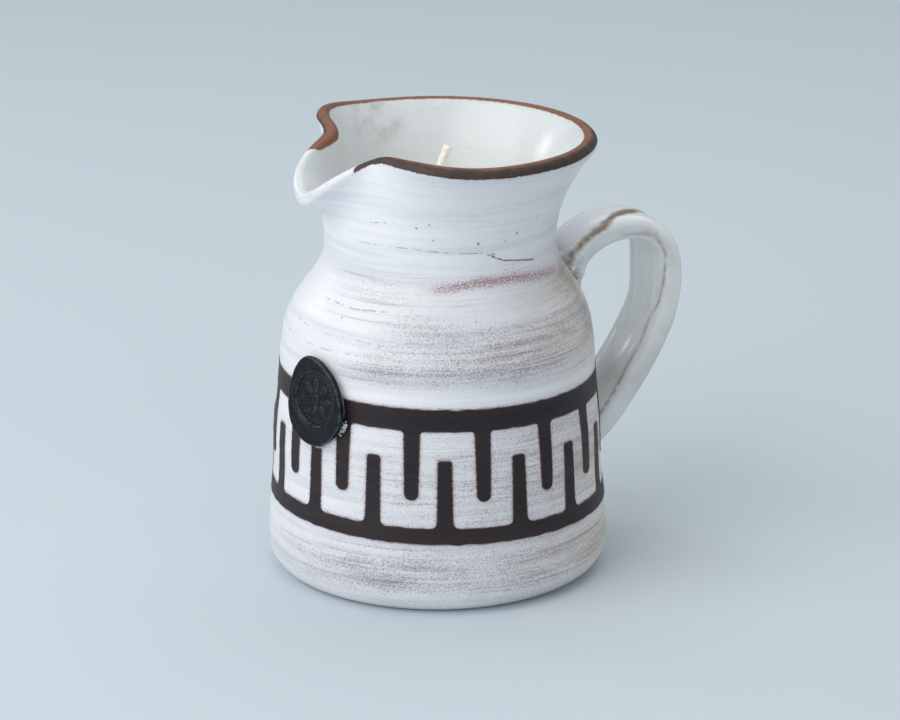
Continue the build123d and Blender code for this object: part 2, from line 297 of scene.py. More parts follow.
@dataclass
class JugForm:
    """Sizes of the thrown jug and the surfaces that follow from them."""

    foot_radius: float = 44.4
    foot_rise: float = 8.1
    belly_radius: float = 52.1
    neck_radius: float = 35.1
    neck_height: float = 100.0
    wall: float = 4.8
    floor_thickness: float = 7.0
    inner_corner: float = 9.0
    profile_rise_shares: tuple = (0, 0.06, 0.13, 0.26, 0.41, 0.56, 0.69, 0.78, 0.85, 0.91, 0.96, 1)
    profile_width_shares: tuple = (
        1, 0.99, 0.965, 0.9, 0.86, 0.785, 0.738, 0.63, 0.435, 0.205, 0.065, 0)
    neck_lean: float = 1.1
    lean_spread: float = 16.0
    mouth_radius: float = 45.6
    mouth_height: float = 132.7
    flare_power: float = 2.1
    spout_power: float = 6.0
    spout_power_angle: float = 25.0
    spout_dip: float = 13.6
    spout_dip_angle: float = 22.0
    spout_setback: float = 3.2
    pinch_depth: float = 12.6
    pinch_angle: float = 35.0
    pinch_front_angle: float = 17.0
    pinch_back_angle: float = 20.0
    lip_swell: float = 1.8
    lip_swell_angle: float = 58.0
    lip_swell_spread: float = 18.0
    ridge_height: float = 0.075
    ridge_pitches: tuple = (3.1, 3.9, 4.7, 6.3, 8.6, 12.5)
    sway_height: float = 0.16
    sway_pitches: tuple = (38.0, 61.0)
    calm_share: float = 0.35
    ridges_start: tuple = (60.0, 74.0)
    ridges_end: tuple = (108.0, 124.0)

    def wall_radius(self, height: Array) -> Array:
        """Outer radius of the smooth wall between the rounded foot and the neck.

        Args:
            height: heights, in mm.

        Returns:
            The radii, in mm.
        """
        share = (height - self.foot_rise) / (self.neck_height - self.foot_rise)
        width = smooth_through(self.profile_rise_shares, self.profile_width_shares, share)
        return self.neck_radius + (self.belly_radius - self.neck_radius) * width

    def held_radius(self, height: Array) -> Array:
        """The wall's radius, held below the foot's round and above the neck."""
        return self.wall_radius(np.clip(height, self.foot_rise, self.neck_height))

    def lean(self, height: Array) -> Array:
        """How far the neck is set back towards the handle at a height."""
        return self.neck_lean * bump(height, self.neck_height, self.lean_spread)

    def thrown(self, phi: Array, height: Array) -> Array:
        """Unevenness that the potter's fingers leave on the outside, in mm outwards.

        Args:
            phi: angles from the spout, in degrees.
            height: heights, in mm.

        Returns:
            The unevenness.
        """
        ridges = waves(phi, height, 5, self.ridge_pitches, 1)
        sway = waves(phi, height, 9, self.sway_pitches, 2)
        strong = soft_step(height, *self.ridges_start) * (1 - soft_step(height, *self.ridges_end))
        strong = self.calm_share + (1 - self.calm_share) * strong
        return self.ridge_height * ridges * strong + self.sway_height * sway

    def outside(self, phi: Array, height: Array) -> Array:
        """Outer radius of the belly as thrown."""
        return self.wall_radius(height) + self.thrown(phi, height)

    def mouth(self, phi: Array) -> tuple:
        """Radius, height and flare power of the lip's middle at each angle.

        Args:
            phi: angles from the spout, in degrees.

        Returns:
            The radii, the heights and the powers.
        """
        side = np.abs(apart(phi, 0.0))
        spread = np.where(side < self.pinch_angle, self.pinch_front_angle, self.pinch_back_angle)
        radius = self.mouth_radius - self.pinch_depth * bump(side, self.pinch_angle, spread)
        radius = radius - self.spout_setback * bump(side, 0.0, self.spout_dip_angle)
        height = self.mouth_height - self.spout_dip * bump(side, 0.0, self.spout_dip_angle)
        height = height + self.lip_swell * bump(side, self.lip_swell_angle, self.lip_swell_spread)
        gain = self.spout_power - self.flare_power
        return radius, height, self.flare_power + gain * bump(side, 0.0, self.spout_power_angle)

    def flare(self, phi: Array, share: Array) -> tuple:
        """Middle of the flared wall and the way along it.

        The radius grows from the neck's by the lip's gain times share to the flare power,
        and the height in proportion to share.

        Args:
            phi: angles, one per column.
            share: 0 at the neck to 1 at the lip, one per row.

        Returns:
            Radius and height of the middle, and the unit direction along it, per row and column.
        """
        radius, height, power = self.mouth(phi)
        start = self.neck_radius - self.wall / 2
        share = share[:, None]
        across = start + (radius - start) * share**power
        up = self.neck_height + (height - self.neck_height) * share
        along_across = (radius - start) * power * share ** (power - 1)
        along_up = np.broadcast_to(height - self.neck_height, across.shape)
        length = np.hypot(along_across, along_up)
        return across, up, along_across / length, along_up / length

    def place(self, radius: Array, height: Array, phi: Array) -> Array:
        """Points for radii and heights at angles from the spout, with the neck set back.

        Args:
            radius: distances from the axis, in mm.
            height: heights, in mm.
            phi: angles from the spout, in degrees.

        Returns:
            The points, in mm.
        """
        turn = np.radians(180.0 - phi)
        x = radius * np.cos(turn) + self.lean(height)
        return np.stack(np.broadcast_arrays(x, radius * np.sin(turn), height), axis=-1)

    def inner_radius(self, phi: Array, height: float) -> Array:
        """Radius of the inner face at one height, at each angle.

        Args:
            phi: angles from the spout, in degrees.
            height: one height, in mm.

        Returns:
            The radii, in mm.
        """
        if height <= self.neck_height:
            return np.full(phi.shape, float(self.wall_radius(np.array(height))) - self.wall)
        share = np.linspace(0.0, 1.0, 60)
        across, up, dx, dz = self.flare(phi, share)
        radius = across - dz * self.wall / 2
        level = up + dx * self.wall / 2
        return np.array([np.interp(height, level[:, k], radius[:, k]) for k in range(len(phi))])


@dataclass(frozen=True)
class Zone:
    """A soft patch of the wall, round an angle and a height, where the clay shows through."""

    phi: float
    phi_spread: float
    height: float
    height_spread: float
    strength: float


@dataclass
class WallMap:
    """Where the glaze of the outer wall is thin, bare or painted, by angle and height."""

    combs: tuple
    zones: tuple = (
        Zone(-125, 44, 79, 9.0, 0.50),
        Zone(-78, 32, 77, 8.0, 0.50),
        Zone(-42, 18, 75, 5.0, 0.50),
        Zone(-36, 32, 95, 6.0, 0.42),
        Zone(-145, 34, 92, 7.0, 0.40),
        Zone(-149, 7, 89, 9.0, 0.40),
        Zone(-66, 30, 87, 5.0, 0.26),
        Zone(-80, 85, 12, 11.0, 0.56),
        Zone(-85, 75, 42, 15.0, 0.52),
        Zone(-128, 34, 42, 15.0, 0.32),
        Zone(-14, 36, 13, 9.0, 0.30),
        Zone(120, 90, 76, 12.0, 0.5),
        Zone(110, 110, 12, 11.0, 0.55),
        Zone(110, 110, 42, 15.0, 0.4),
    )
    least_cover: float = 0.10
    clean_phi: float = 4.0
    clean_spread: float = 42.0
    clean_share: float = 0.5
    stripe_height: float = 66.0
    stripe_spread: float = 1.7
    stripe_share: float = 0.85
    rust_phis: tuple = (-160, -150, -135, -103, -84, -67, -54)
    rust_heights: tuple = (94.6, 95.0, 95.9, 98.0, 98.0, 96.8, 96.2)
    rust_shares: tuple = (0, 0.4, 0.85, 1, 1, 0.85, 0)
    rust_spread: float = 2.2
    outer_phis: tuple = (-180, -150, -125, -60, -45, -30, 22, 45, 180)
    outer_limits: tuple = (2.1, 1.9, 2.7, 2.8, 2.9, 3.3, 4.0, 3.0, 2.1)
    inner_phis: tuple = (-180, -160, -120, -60, -27, 22, 45, 60, 90, 120, 140, 160, 180)
    inner_limits: tuple = (
        -3.3, -3.3, -2.7, -2.2, -2.2, -3.4, -4.1, -3.6, -3.0, -3.0, -3.1, -3.3, -3.4)
    bare_front_phi: float = -26.5
    bare_back_phi: float = 22.0
    lip_radius: float = 38.0
    lip_cover: float = 0.22
    lip_cover_spread: float = 2.4
    slip_inside: float = 9.0

    def cover(self, phi: Array, height: Array, over: Array) -> Array:
        """How thickly clay specks show, from 0 to 1: soft zones, less on the clean side.

        Args:
            phi: angles from the spout, in degrees.
            height: heights, in mm.
            over: distances over the lip, in mm, negative inside the jug.

        Returns:
            The cover.
        """
        total = np.full(np.broadcast(phi, height).shape, self.least_cover)
        for zone in self.zones:
            patch = bump(apart(phi, zone.phi), 0.0, zone.phi_spread)
            total = total + zone.strength * patch * bump(height, zone.height, zone.height_spread)
        total = total * (1 - self.clean_share * bump(phi, self.clean_phi, self.clean_spread))
        stripe = bump(height, self.stripe_height, self.stripe_spread)
        total = total * (1 - self.stripe_share * stripe)
        return total + self.lip_cover * bump(over, 0.0, self.lip_cover_spread)

    def rust(self, phi: Array, height: Array) -> Array:
        """Strength of the reddish specks on the shoulder.

        Args:
            phi: angles from the spout, in degrees.
            height: heights, in mm.

        Returns:
            The strength, from 0 to 1.
        """
        middle = np.interp(phi, self.rust_phis, self.rust_heights)
        share = np.interp(phi, self.rust_phis, self.rust_shares)
        return share * bump(height, middle, self.rust_spread)

    def bare(self, phi: Array, over: Array) -> Array:
        """Distance into the bare brown lip, in mm, negative outside it.

        Args:
            phi: angles from the spout, in degrees.
            over: distances over the lip, in mm, negative inside the jug.

        Returns:
            The distances.
        """
        outer = np.interp(phi, self.outer_phis, self.outer_limits) - over
        inner = over - np.interp(phi, self.inner_phis, self.inner_limits)
        ends = np.maximum(self.bare_front_phi - phi, phi - self.bare_back_phi)
        return np.minimum(np.minimum(outer, inner), np.radians(ends) * self.lip_radius)

    def marks(self, phi: Array, height: Array, over: Array) -> dict:
        """All the maps for a grid of points; inside the jug only the lip's counts.

        Args:
            phi: angles from the spout, in degrees.
            height: heights, in mm.
            over: distances over the lip, in mm, negative inside the jug.

        Returns:
            The maps by attribute name.
        """
        phi = np.broadcast_to(phi, height.shape)
        slip = np.min([comb.away(phi, height) for comb in self.combs], axis=0)
        inside = over < 0
        return {
            "lip_mm": over,
            "bare_mm": self.bare(phi, over),
            "slip_mm": np.where(inside, self.slip_inside, slip),
            "cover": np.where(inside, 0.0, self.cover(phi, height, over)),
            "rust": np.where(inside, 0.0, self.rust(phi, height)),
        }


@dataclass
class JugBody:
    """The glazed shell: foot, wall, neck, pinched spout, lip and inside."""

    form: JugForm
    map: WallMap
    columns: int = 320
    row_step: float = 0.62
    flare_rows: int = 56
    lip_rows: int = 12
    lip_flatness: float = 0.75
    root_swell: float = 0.8
    root_spread: float = 9.0
    root_stretch: float = 1.5
    root_height: float = 88.0
    foot_rows: int = 10
    inner_steps: int = 24
    corner_rows: int = 7

    def outer_rows(self) -> tuple:
        """Rounded foot and belly, up to the neck: radius and height per row.

        Returns:
            Two columns of numbers.
        """
        form = self.form
        turn = np.linspace(0, math.pi / 2, self.foot_rows)
        out = form.belly_radius - form.foot_radius
        foot_r = form.foot_radius + out * np.sin(turn)
        foot_z = form.foot_rise * (1 - np.cos(turn))
        count = int((form.neck_height - form.foot_rise) / self.row_step)
        rise = np.linspace(form.foot_rise, form.neck_height, count)[1:]
        radius = np.concatenate([foot_r, form.wall_radius(rise)])
        return radius[:, None], np.concatenate([foot_z, rise])[:, None]

    def rounded_lip(self, phi: Array) -> tuple:
        """Round of the lip from the outer to the inner face, flattened a little along the wall.

        Args:
            phi: angles from the spout, in degrees.

        Returns:
            Radius and height per row and column.
        """
        form = self.form
        across, up, dx, dz = form.flare(phi, np.array([1.0]))
        turn = np.linspace(0, math.pi, self.lip_rows + 2)[1:-1, None]
        side = np.cos(turn) * form.wall / 2
        over = np.sin(turn) ** self.lip_flatness * form.wall / 2
        return across + side * dz + over * dx, up - side * dx + over * dz

    def inner_rows(self) -> tuple:
        """Inner wall from the neck down, its corner and the floor: radius and height per row.

        Returns:
            Two columns of numbers.
        """
        form = self.form
        corner = form.floor_thickness + form.inner_corner
        fall = np.linspace(form.neck_height, corner, self.inner_steps)[1:]
        wall = form.wall_radius(fall) - form.wall
        turn = np.linspace(0, math.pi / 2, self.corner_rows)[1:]
        round_r = wall[-1] - form.inner_corner * (1 - np.cos(turn))
        round_z = corner - form.inner_corner * np.sin(turn)
        radius = np.concatenate([wall, round_r, [round_r[-1] / 2]])
        return radius[:, None], np.concatenate([fall, round_z, [form.floor_thickness]])[:, None]

    def swelling(self, phi: Array, height: Array) -> Array:
        """Clay smeared outwards round the upper joint of the handle, in mm.

        Args:
            phi: angles from the spout, in degrees.
            height: heights, in mm.

        Returns:
            The swelling.
        """
        side = np.radians(apart(phi, FULL_TURN / 2)) * self.form.wall_radius(height)
        far = np.hypot(side / self.root_stretch, height - self.root_height)
        return self.root_swell * bump(far, 0.0, self.root_spread)

    def build(self) -> Piece:
        """Makes the shell's mesh, marked with the distance over the lip and the wall's maps.

        Returns:
            The shell.
        """
        form = self.form
        phi = np.linspace(-180.0, 180.0, self.columns, endpoint=False)
        mid_r, mid_z, dx, dz = form.flare(phi, np.linspace(0, 1, self.flare_rows + 1))
        half = form.wall / 2
        belly = self.outer_rows()
        outer = (mid_r + dz * half)[1:], (mid_z - dx * half)[1:]
        inner = (mid_r - dz * half)[::-1], (mid_z + dx * half)[::-1]
        parts = belly, outer, self.rounded_lip(phi), inner, self.inner_rows()
        radius, height = (
            np.concatenate([np.broadcast_to(part, (len(part), phi.size)) for part in run])
            for run in zip(*parts))
        crest = len(belly[0]) + len(outer[0]) + self.lip_rows // 2
        rows = np.arange(radius.shape[0])[:, None]
        fade = soft_step(height, 1.0, form.foot_rise) * (rows < crest - self.lip_rows // 2)
        radius = radius + fade * form.thrown(phi, height)
        radius = radius + fade * self.swelling(phi, height)
        step = np.hypot(np.diff(radius, axis=0), np.diff(height, axis=0))
        travel = np.concatenate([np.zeros((1, phi.size)), np.cumsum(step, axis=0)])
        over = travel[crest][None, :] - travel
        points = form.place(radius, height, phi[None, :])
        return closed_skin("jug_shell", points, **self.map.marks(phi[None, :], height, over))


@dataclass
class Handle:
    """Pulled strap handle on a line between two joints on the wall."""

    form: JugForm
    reach: float = 73.8
    top_height: float = 100.5
    foot_height: float = 36.0
    width: float = 24.0
    thickness: float = 8.6
    line_reach_shares: tuple = (
        0, 0.163, 0.38, 0.592, 0.81, 0.96, 1, 0.961, 0.821, 0.604, 0.345, 0)
    line_rise_shares: tuple = (
        0.729, 0.851, 0.952, 1, 0.991, 0.903, 0.76, 0.59, 0.435, 0.287, 0.148, 0)
    width_shares: tuple = (
        0.84, 0.82, 0.79, 0.79, 0.88, 1.02, 1.10, 1.04, 1.06, 1.06, 1.06, 1.08)
    thickness_shares: tuple = (
        1.02, 1.04, 1, 0.98, 0.98, 1.02, 1.06, 0.99, 0.97, 1, 1.07, 1.17)
    streak_places: tuple = (5, 11, 16, 20, 23.3, 26, 31.5, 36, 41)
    streak_across: tuple = (-0.9, -0.91, -0.95, -0.89, -0.73, -0.5, -0.32, -0.1, 0.1)
    streak_shares: tuple = (0.5, 0.7, 0.8, 0.9, 1, 1, 1, 0.6, 0)
    streak_spread: float = 2.5
    line_places: tuple = (24, 29.5, 37, 48.7, 61, 69, 84, 99.5, 112)
    line_turns: tuple = (190, 191, 183, 205, 222, 240, 234, 220, 205)
    line_shares: tuple = (0, 0.7, 0.8, 0.9, 0.8, 0.7, 0.8, 0.9, 0.3)
    line_spread: float = 6.0
    squareness: float = 3.4
    groove_depth: float = 0.45
    groove_place_share: float = 0.5
    groove_width_share: float = 0.16
    wobble: float = 0.14
    wobble_pitches: tuple = (17.0, 29.0, 43.0)
    sink: float = 0.4
    free_face: float = 0.8
    streak_face: tuple = (0.2, 0.7)
    flare_share: float = 0.05
    flare_length: float = 3.0
    upper_root_length: float = 6.5
    upper_root_drop: float = 3.0
    lower_root_length: float = 5.0
    lower_root_drop: float = 2.0
    rows: int = 240
    columns: int = 96

    def line(self) -> tuple:
        """The line's radius, height, width and thickness at even steps of its length.

        Returns:
            The four sizes, and the distance along the line.
        """
        form = self.form
        rise = np.array(self.line_rise_shares)
        height = self.foot_height + (self.top_height - self.foot_height) * rise
        root = form.wall_radius(np.minimum(height, form.neck_height)) - form.wall / 2
        share = np.array(self.line_reach_shares)
        radius = root * (1 - share) + self.reach * share
        length = np.hypot(np.diff(radius), np.diff(height))
        place = np.concatenate([[0.0], np.cumsum(length)])
        at = np.linspace(0, place[-1], self.rows)
        width = self.width * smooth_through(place, self.width_shares, at)
        thickness = self.thickness * smooth_through(place, self.thickness_shares, at)
        return (smooth_through(place, radius, at), smooth_through(place, height, at), width,
                thickness, at)

    def build(self) -> Piece:
        """Carries a rounded strap section along the line.

        The section is a superellipse: half width times cos to 2 over squareness, half
        thickness times sin to the same power, with two finger grooves on its outer face.

        Returns:
            The handle, with the way round and along it as marks.
        """
        radius, height, width, thickness, at = self.line()
        along_r = np.gradient(radius, at)
        along_z = np.gradient(height, at)
        size = np.hypot(along_r, along_z)
        out_r, out_z = -along_z / size, along_r / size
        end = np.minimum(at, at[-1] - at)
        flare = 1 + self.flare_share * np.exp(-((end / self.flare_length) ** 2))
        turn = full_round(self.columns)
        power = 2 / self.squareness
        across = np.sign(np.cos(turn)) * np.abs(np.cos(turn)) ** power
        outward = np.sign(np.sin(turn)) * np.abs(np.sin(turn)) ** power
        groove = bump(np.abs(across), self.groove_place_share, self.groove_width_share)
        drop = self.groove_depth * groove * np.abs(outward)
        side = (width * flare / 2)[:, None] * across
        lift = (thickness * flare / 2)[:, None] * outward - np.sign(outward) * drop
        wobble = waves(np.degrees(turn)[None, :], at[:, None], 21, self.wobble_pitches, 2)
        lift = lift + self.wobble * wobble * np.sign(outward)
        x = radius[:, None] + out_r[:, None] * lift
        z = height[:, None] + out_z[:, None] * lift
        x, z = self.run_out(x, side, z, at[:, None], outward)
        x, side = self.kept_in_wall(x, side, z)
        return closed_skin("strap_handle", np.stack([x, side, z], axis=-1), across=across,
                           outward=outward, along_mm=at[:, None],
                           streak=self.streak(at[:, None], across, outward),
                           line=self.side_line(at[:, None], np.degrees(turn)))

    def run_out(self, x: Array, y: Array, z: Array, at: Array,
                outward: Array) -> tuple:
        """Draws the strap's free faces down into the wall at its two joints.

        Args:
            x, y, z: the strap's points.
            at: distance along the strap.
            outward: place across the thickness, from -1 inside the loop to 1 outside.

        Returns:
            The moved x and z.
        """
        form = self.form
        joints = ((at, -outward, self.upper_root_length, self.upper_root_drop),
                  (at[-1] - at, outward, self.lower_root_length, self.lower_root_drop))
        for left, free, length, drop in joints:
            pull = (1 - soft_step(left, 0.0, length)) * soft_step(free, 0.0, self.free_face)
            z = z - drop * pull
            far = form.held_radius(z) - self.sink
            wall = form.lean(z) + np.sqrt(np.maximum(far**2 - y**2, 0))
            x = np.where(x > wall, x + (wall - x) * pull, x)
        return x, z

    def streak(self, at: Array, across: Array, outward: Array) -> Array:
        """Strength of the brown streak that runs over the crown's outer face.

        Args:
            at: distances along the strap, in mm.
            across: place across the width, from -1 to 1.
            outward: place across the thickness, from -1 to 1.

        Returns:
            The strength, from 0 to 1.
        """
        middle = np.interp(at, self.streak_places, self.streak_across)
        share = np.interp(at, self.streak_places, self.streak_shares)
        side = (across - middle) * self.width / 2
        return share * bump(side, 0.0, self.streak_spread) * soft_step(outward, *self.streak_face)

    def side_line(self, at: Array, turn: Array) -> Array:
        """Strength of the grey line along the edge on the side with the seal.

        Args:
            at: distances along the strap, in mm.
            turn: angles round the strap's section, in degrees.

        Returns:
            The strength, from 0 to 1.
        """
        middle = np.interp(at, self.line_places, self.line_turns)
        share = np.interp(at, self.line_places, self.line_shares)
        return share * bump(turn, middle, self.line_spread)

    def kept_in_wall(self, x: Array, y: Array, z: Array) -> tuple:
        """Moves what would stick into the jug's inside out to a depth within the wall.

        Args:
            x: places towards the handle.
            y: places across.
            z: heights.

        Returns:
            The moved x and y.
        """
        lean = self.form.lean(z)
        least = self.form.held_radius(z) - self.form.wall / 4
        grow = np.maximum(least / np.hypot(x - lean, y), 1.0)
        return lean + (x - lean) * grow, y * grow


@dataclass
class SlipComb:
    """One comb of the meander: a line of dark slip round the belly, with fingers."""

    form: JugForm
    name: str
    hang: Hang
    line_low: float
    line_high: float
    finger_end: float
    end_round: float
    root_round: float
    finger_turn: float
    offsets: tuple
    tip_width: float = 4.2
    root_width: float = 4.9
    finger_count: int = 15
    thickness: float = 0.3
    lift: float = 0.2
    edge: float = 0.08
    tilt: float = 1.1
    tilt_turn: float = 66.0
    serration: float = 0.11
    serration_pitches: tuple = (0.45, 0.6, 0.85, 1.5, 2.6)
    serration_turns: int = 110
    step: float = 0.17
    settle: float = 0.8
    tip_error: float = 0.3

    def near(self) -> float:
        """Height of the line's edge that carries the fingers."""
        return self.line_low if self.hang is Hang.DOWN else self.line_high

    def turns(self) -> Array:
        """Angles of the fingers: even, apart from the hand's measured and unseen errors.

        Returns:
            The angles, in degrees from the spout.
        """
        even = self.finger_turn + FULL_TURN / self.finger_count * np.arange(self.finger_count)
        draw = np.random.default_rng(int(self.line_high))
        errors = draw.uniform(-1.0, 1.0, self.finger_count)
        errors[: len(self.offsets)] = self.offsets
        return even + errors

    def sunk(self, phi: Array) -> Array:
        """Height that the band's slight tilt adds at each angle."""
        return self.tilt * np.sin(np.radians(phi + self.tilt_turn))

    def width_at(self, share: Array) -> Array:
        """Width of a finger, from 0 at its line to 1 at its tip."""
        return self.root_width + (self.tip_width - self.root_width) * np.clip(share, 0, 1)

    def away(self, phi: Array, height: Array) -> Array:
        """Distance from the comb's edge in mm, negative inside the slip.

        Args:
            phi: angles from the spout, in degrees.
            height: heights, in mm.

        Returns:
            The distances.
        """
        level = height - self.sunk(phi)
        line = np.maximum(self.line_low - level, level - self.line_high)
        reach = (level - self.near()) * self.hang.value
        length = abs(self.finger_end - self.near())
        radius = self.form.held_radius(height)
        half = self.width_at(reach / length) / 2
        best = line
        for turn in self.turns():
            side = np.abs(np.radians(apart(phi, turn))) * radius - half + self.end_round
            past = np.abs(reach - length / 2) - length / 2 + self.end_round
            corner = np.hypot(np.maximum(side, 0), np.maximum(past, 0))
            within = np.minimum(np.maximum(side, past), 0)
            best = np.minimum(best, corner + within - self.end_round)
        return best

    def ragged(self, seed: int, height: Array, turn: float) -> Array:
        """Unevenness of a finger's side, in mm."""
        return self.serration * waves(np.array(turn), height, seed, self.serration_pitches, 3)

    def surface(self, phi: Array, height: Array) -> Array:
        """Points of the slip's face over the thrown wall."""
        level = height + self.sunk(phi)
        return self.form.place(self.form.outside(phi, level) + self.lift, level, phi)

    def line_columns(self, turns: Array) -> tuple:
        """Angles of the line's columns, and how far each lies beyond its nearest finger.

        The columns are close together at each finger's fillets.

        Args:
            turns: the fingers' angles, rising.

        Returns:
            Angles, and distances beyond the finger in mm, zero over a finger.
        """
        radius = float(self.form.wall_radius(np.array(self.near())))
        half = math.degrees(self.root_width / 2 / radius)
        root = math.degrees(self.root_round / radius)
        inside = np.linspace(-half, half, 9)
        fillet = half + root * np.array([0.05, 0.15, 0.3, 0.5, 0.75, 1.0])
        angles, beyond = [], []
        for turn, after in zip(turns, np.append(turns[1:], turns[0] + FULL_TURN)):
            period = after - turn
            between = np.linspace(half + root, period - half - root, 14)[1:-1]
            column = np.concatenate([inside, fillet, between, period - fillet[::-1]])
            angles.append(turn + column)
            gap = np.minimum(np.abs(column), np.abs(period - column)) - half
            beyond.append(np.radians(np.maximum(gap, 0)) * radius)
        return np.concatenate(angles), np.concatenate(beyond)

    def line_patch(self) -> tuple:
        """The line, whose finger side dips in a fillet at each finger's root.

        A fillet of radius f at distance d from the finger dips by f minus the root of
        (f squared minus (f - d) squared).

        Returns:
            Points, and their distance to the nearest edge.
        """
        direction = self.hang.value
        far = self.line_high if self.hang is Hang.DOWN else self.line_low
        phi, beyond = self.line_columns(np.sort(self.turns()))
        share = np.clip(beyond / self.root_round, 0, 1)
        dip = self.root_round * (1 - np.sqrt(1 - (1 - share) ** 2))
        touching = beyond > 1e-9
        wave, far_wave = (
            self.serration * waves(phi, np.array(0.0), seed, (1.0,) * 5, self.serration_turns)
            for seed in (31, 37))
        near_edge = self.near() + direction * np.where(touching, dip + wave, self.root_round)
        far_edge = far + far_wave
        share = np.concatenate([[0, 0.03, 0.1], np.linspace(0.22, 0.78, 6), [0.9, 0.97, 1]])
        height = far_edge + (near_edge - far_edge) * share[:, None]
        depth = np.minimum(np.abs(height - far_edge), np.abs(height - near_edge))
        depth = np.where(touching, depth, np.abs(height - far_edge))
        return self.surface(phi[None, :] + 0 * height, height), depth

    def finger_patch(self, turn: float, number: int) -> tuple:
        """One finger with uneven sides and a rounded end.

        Within end round e of the tip, the half width is w - e + the root of (e squared
        minus the distance into the round squared).

        Args:
            turn: the finger's angle from the spout.
            number: the finger's number, which fixes its unevenness.

        Returns:
            Points, and their distance to the nearest edge.
        """
        start = self.near() + self.hang.value * self.root_round
        length = abs(self.finger_end + self.tip_error * math.sin(number * 2.3) - start)
        straight = np.arange(0, length - self.end_round, self.step)
        curl = np.linspace(0, math.pi / 2, 12)
        place = np.concatenate([straight, length - self.end_round * (1 - np.sin(curl))])
        into = np.clip(place - (length - self.end_round), 0, self.end_round)
        inset = self.end_round - np.sqrt(np.maximum(self.end_round**2 - into**2, 0))
        height = start + self.hang.value * place
        settle = soft_step(place, 0.0, self.settle)
        half = self.width_at((place + self.root_round) / (length + self.root_round)) / 2
        left, right = (half - inset + self.ragged(seed + number, height, turn) * settle
                       for seed in (50, 90))
        share = np.array([-1, -0.85, -0.5, 0, 0.5, 0.85, 1])[None, :]
        offset = np.where(share < 0, share * left[:, None], share * right[:, None])
        degrees = np.degrees(offset / self.form.wall_radius(height)[:, None])
        level = np.broadcast_to(height[:, None], degrees.shape)
        depth = np.minimum((1 - np.abs(share)) * half[:, None], np.abs(length - place)[:, None])
        return self.surface(turn + degrees, level), depth

    def build(self) -> Piece:
        """Joins the line and its fingers into one skin of slip.

        Returns:
            The comb.
        """
        patches = [self.line_patch()]
        for number, turn in enumerate(self.turns()):
            patches.append(self.finger_patch(float(turn), number))
        points, quads, marks, total = [], [], [], 0
        for patch, depth in patches:
            rows, columns, _ = patch.shape
            quads.append(grid_quads(rows, columns, total, closed=total == 0))
            points.append(patch.reshape(-1, 3))
            marks.append(depth.ravel())
            total += rows * columns
        piece = make_object(self.name, np.concatenate(points), np.concatenate(quads), None,
                            {"edge_mm": np.concatenate(marks)})
        edge_modifiers(piece, self.thickness, self.edge)
        return piece


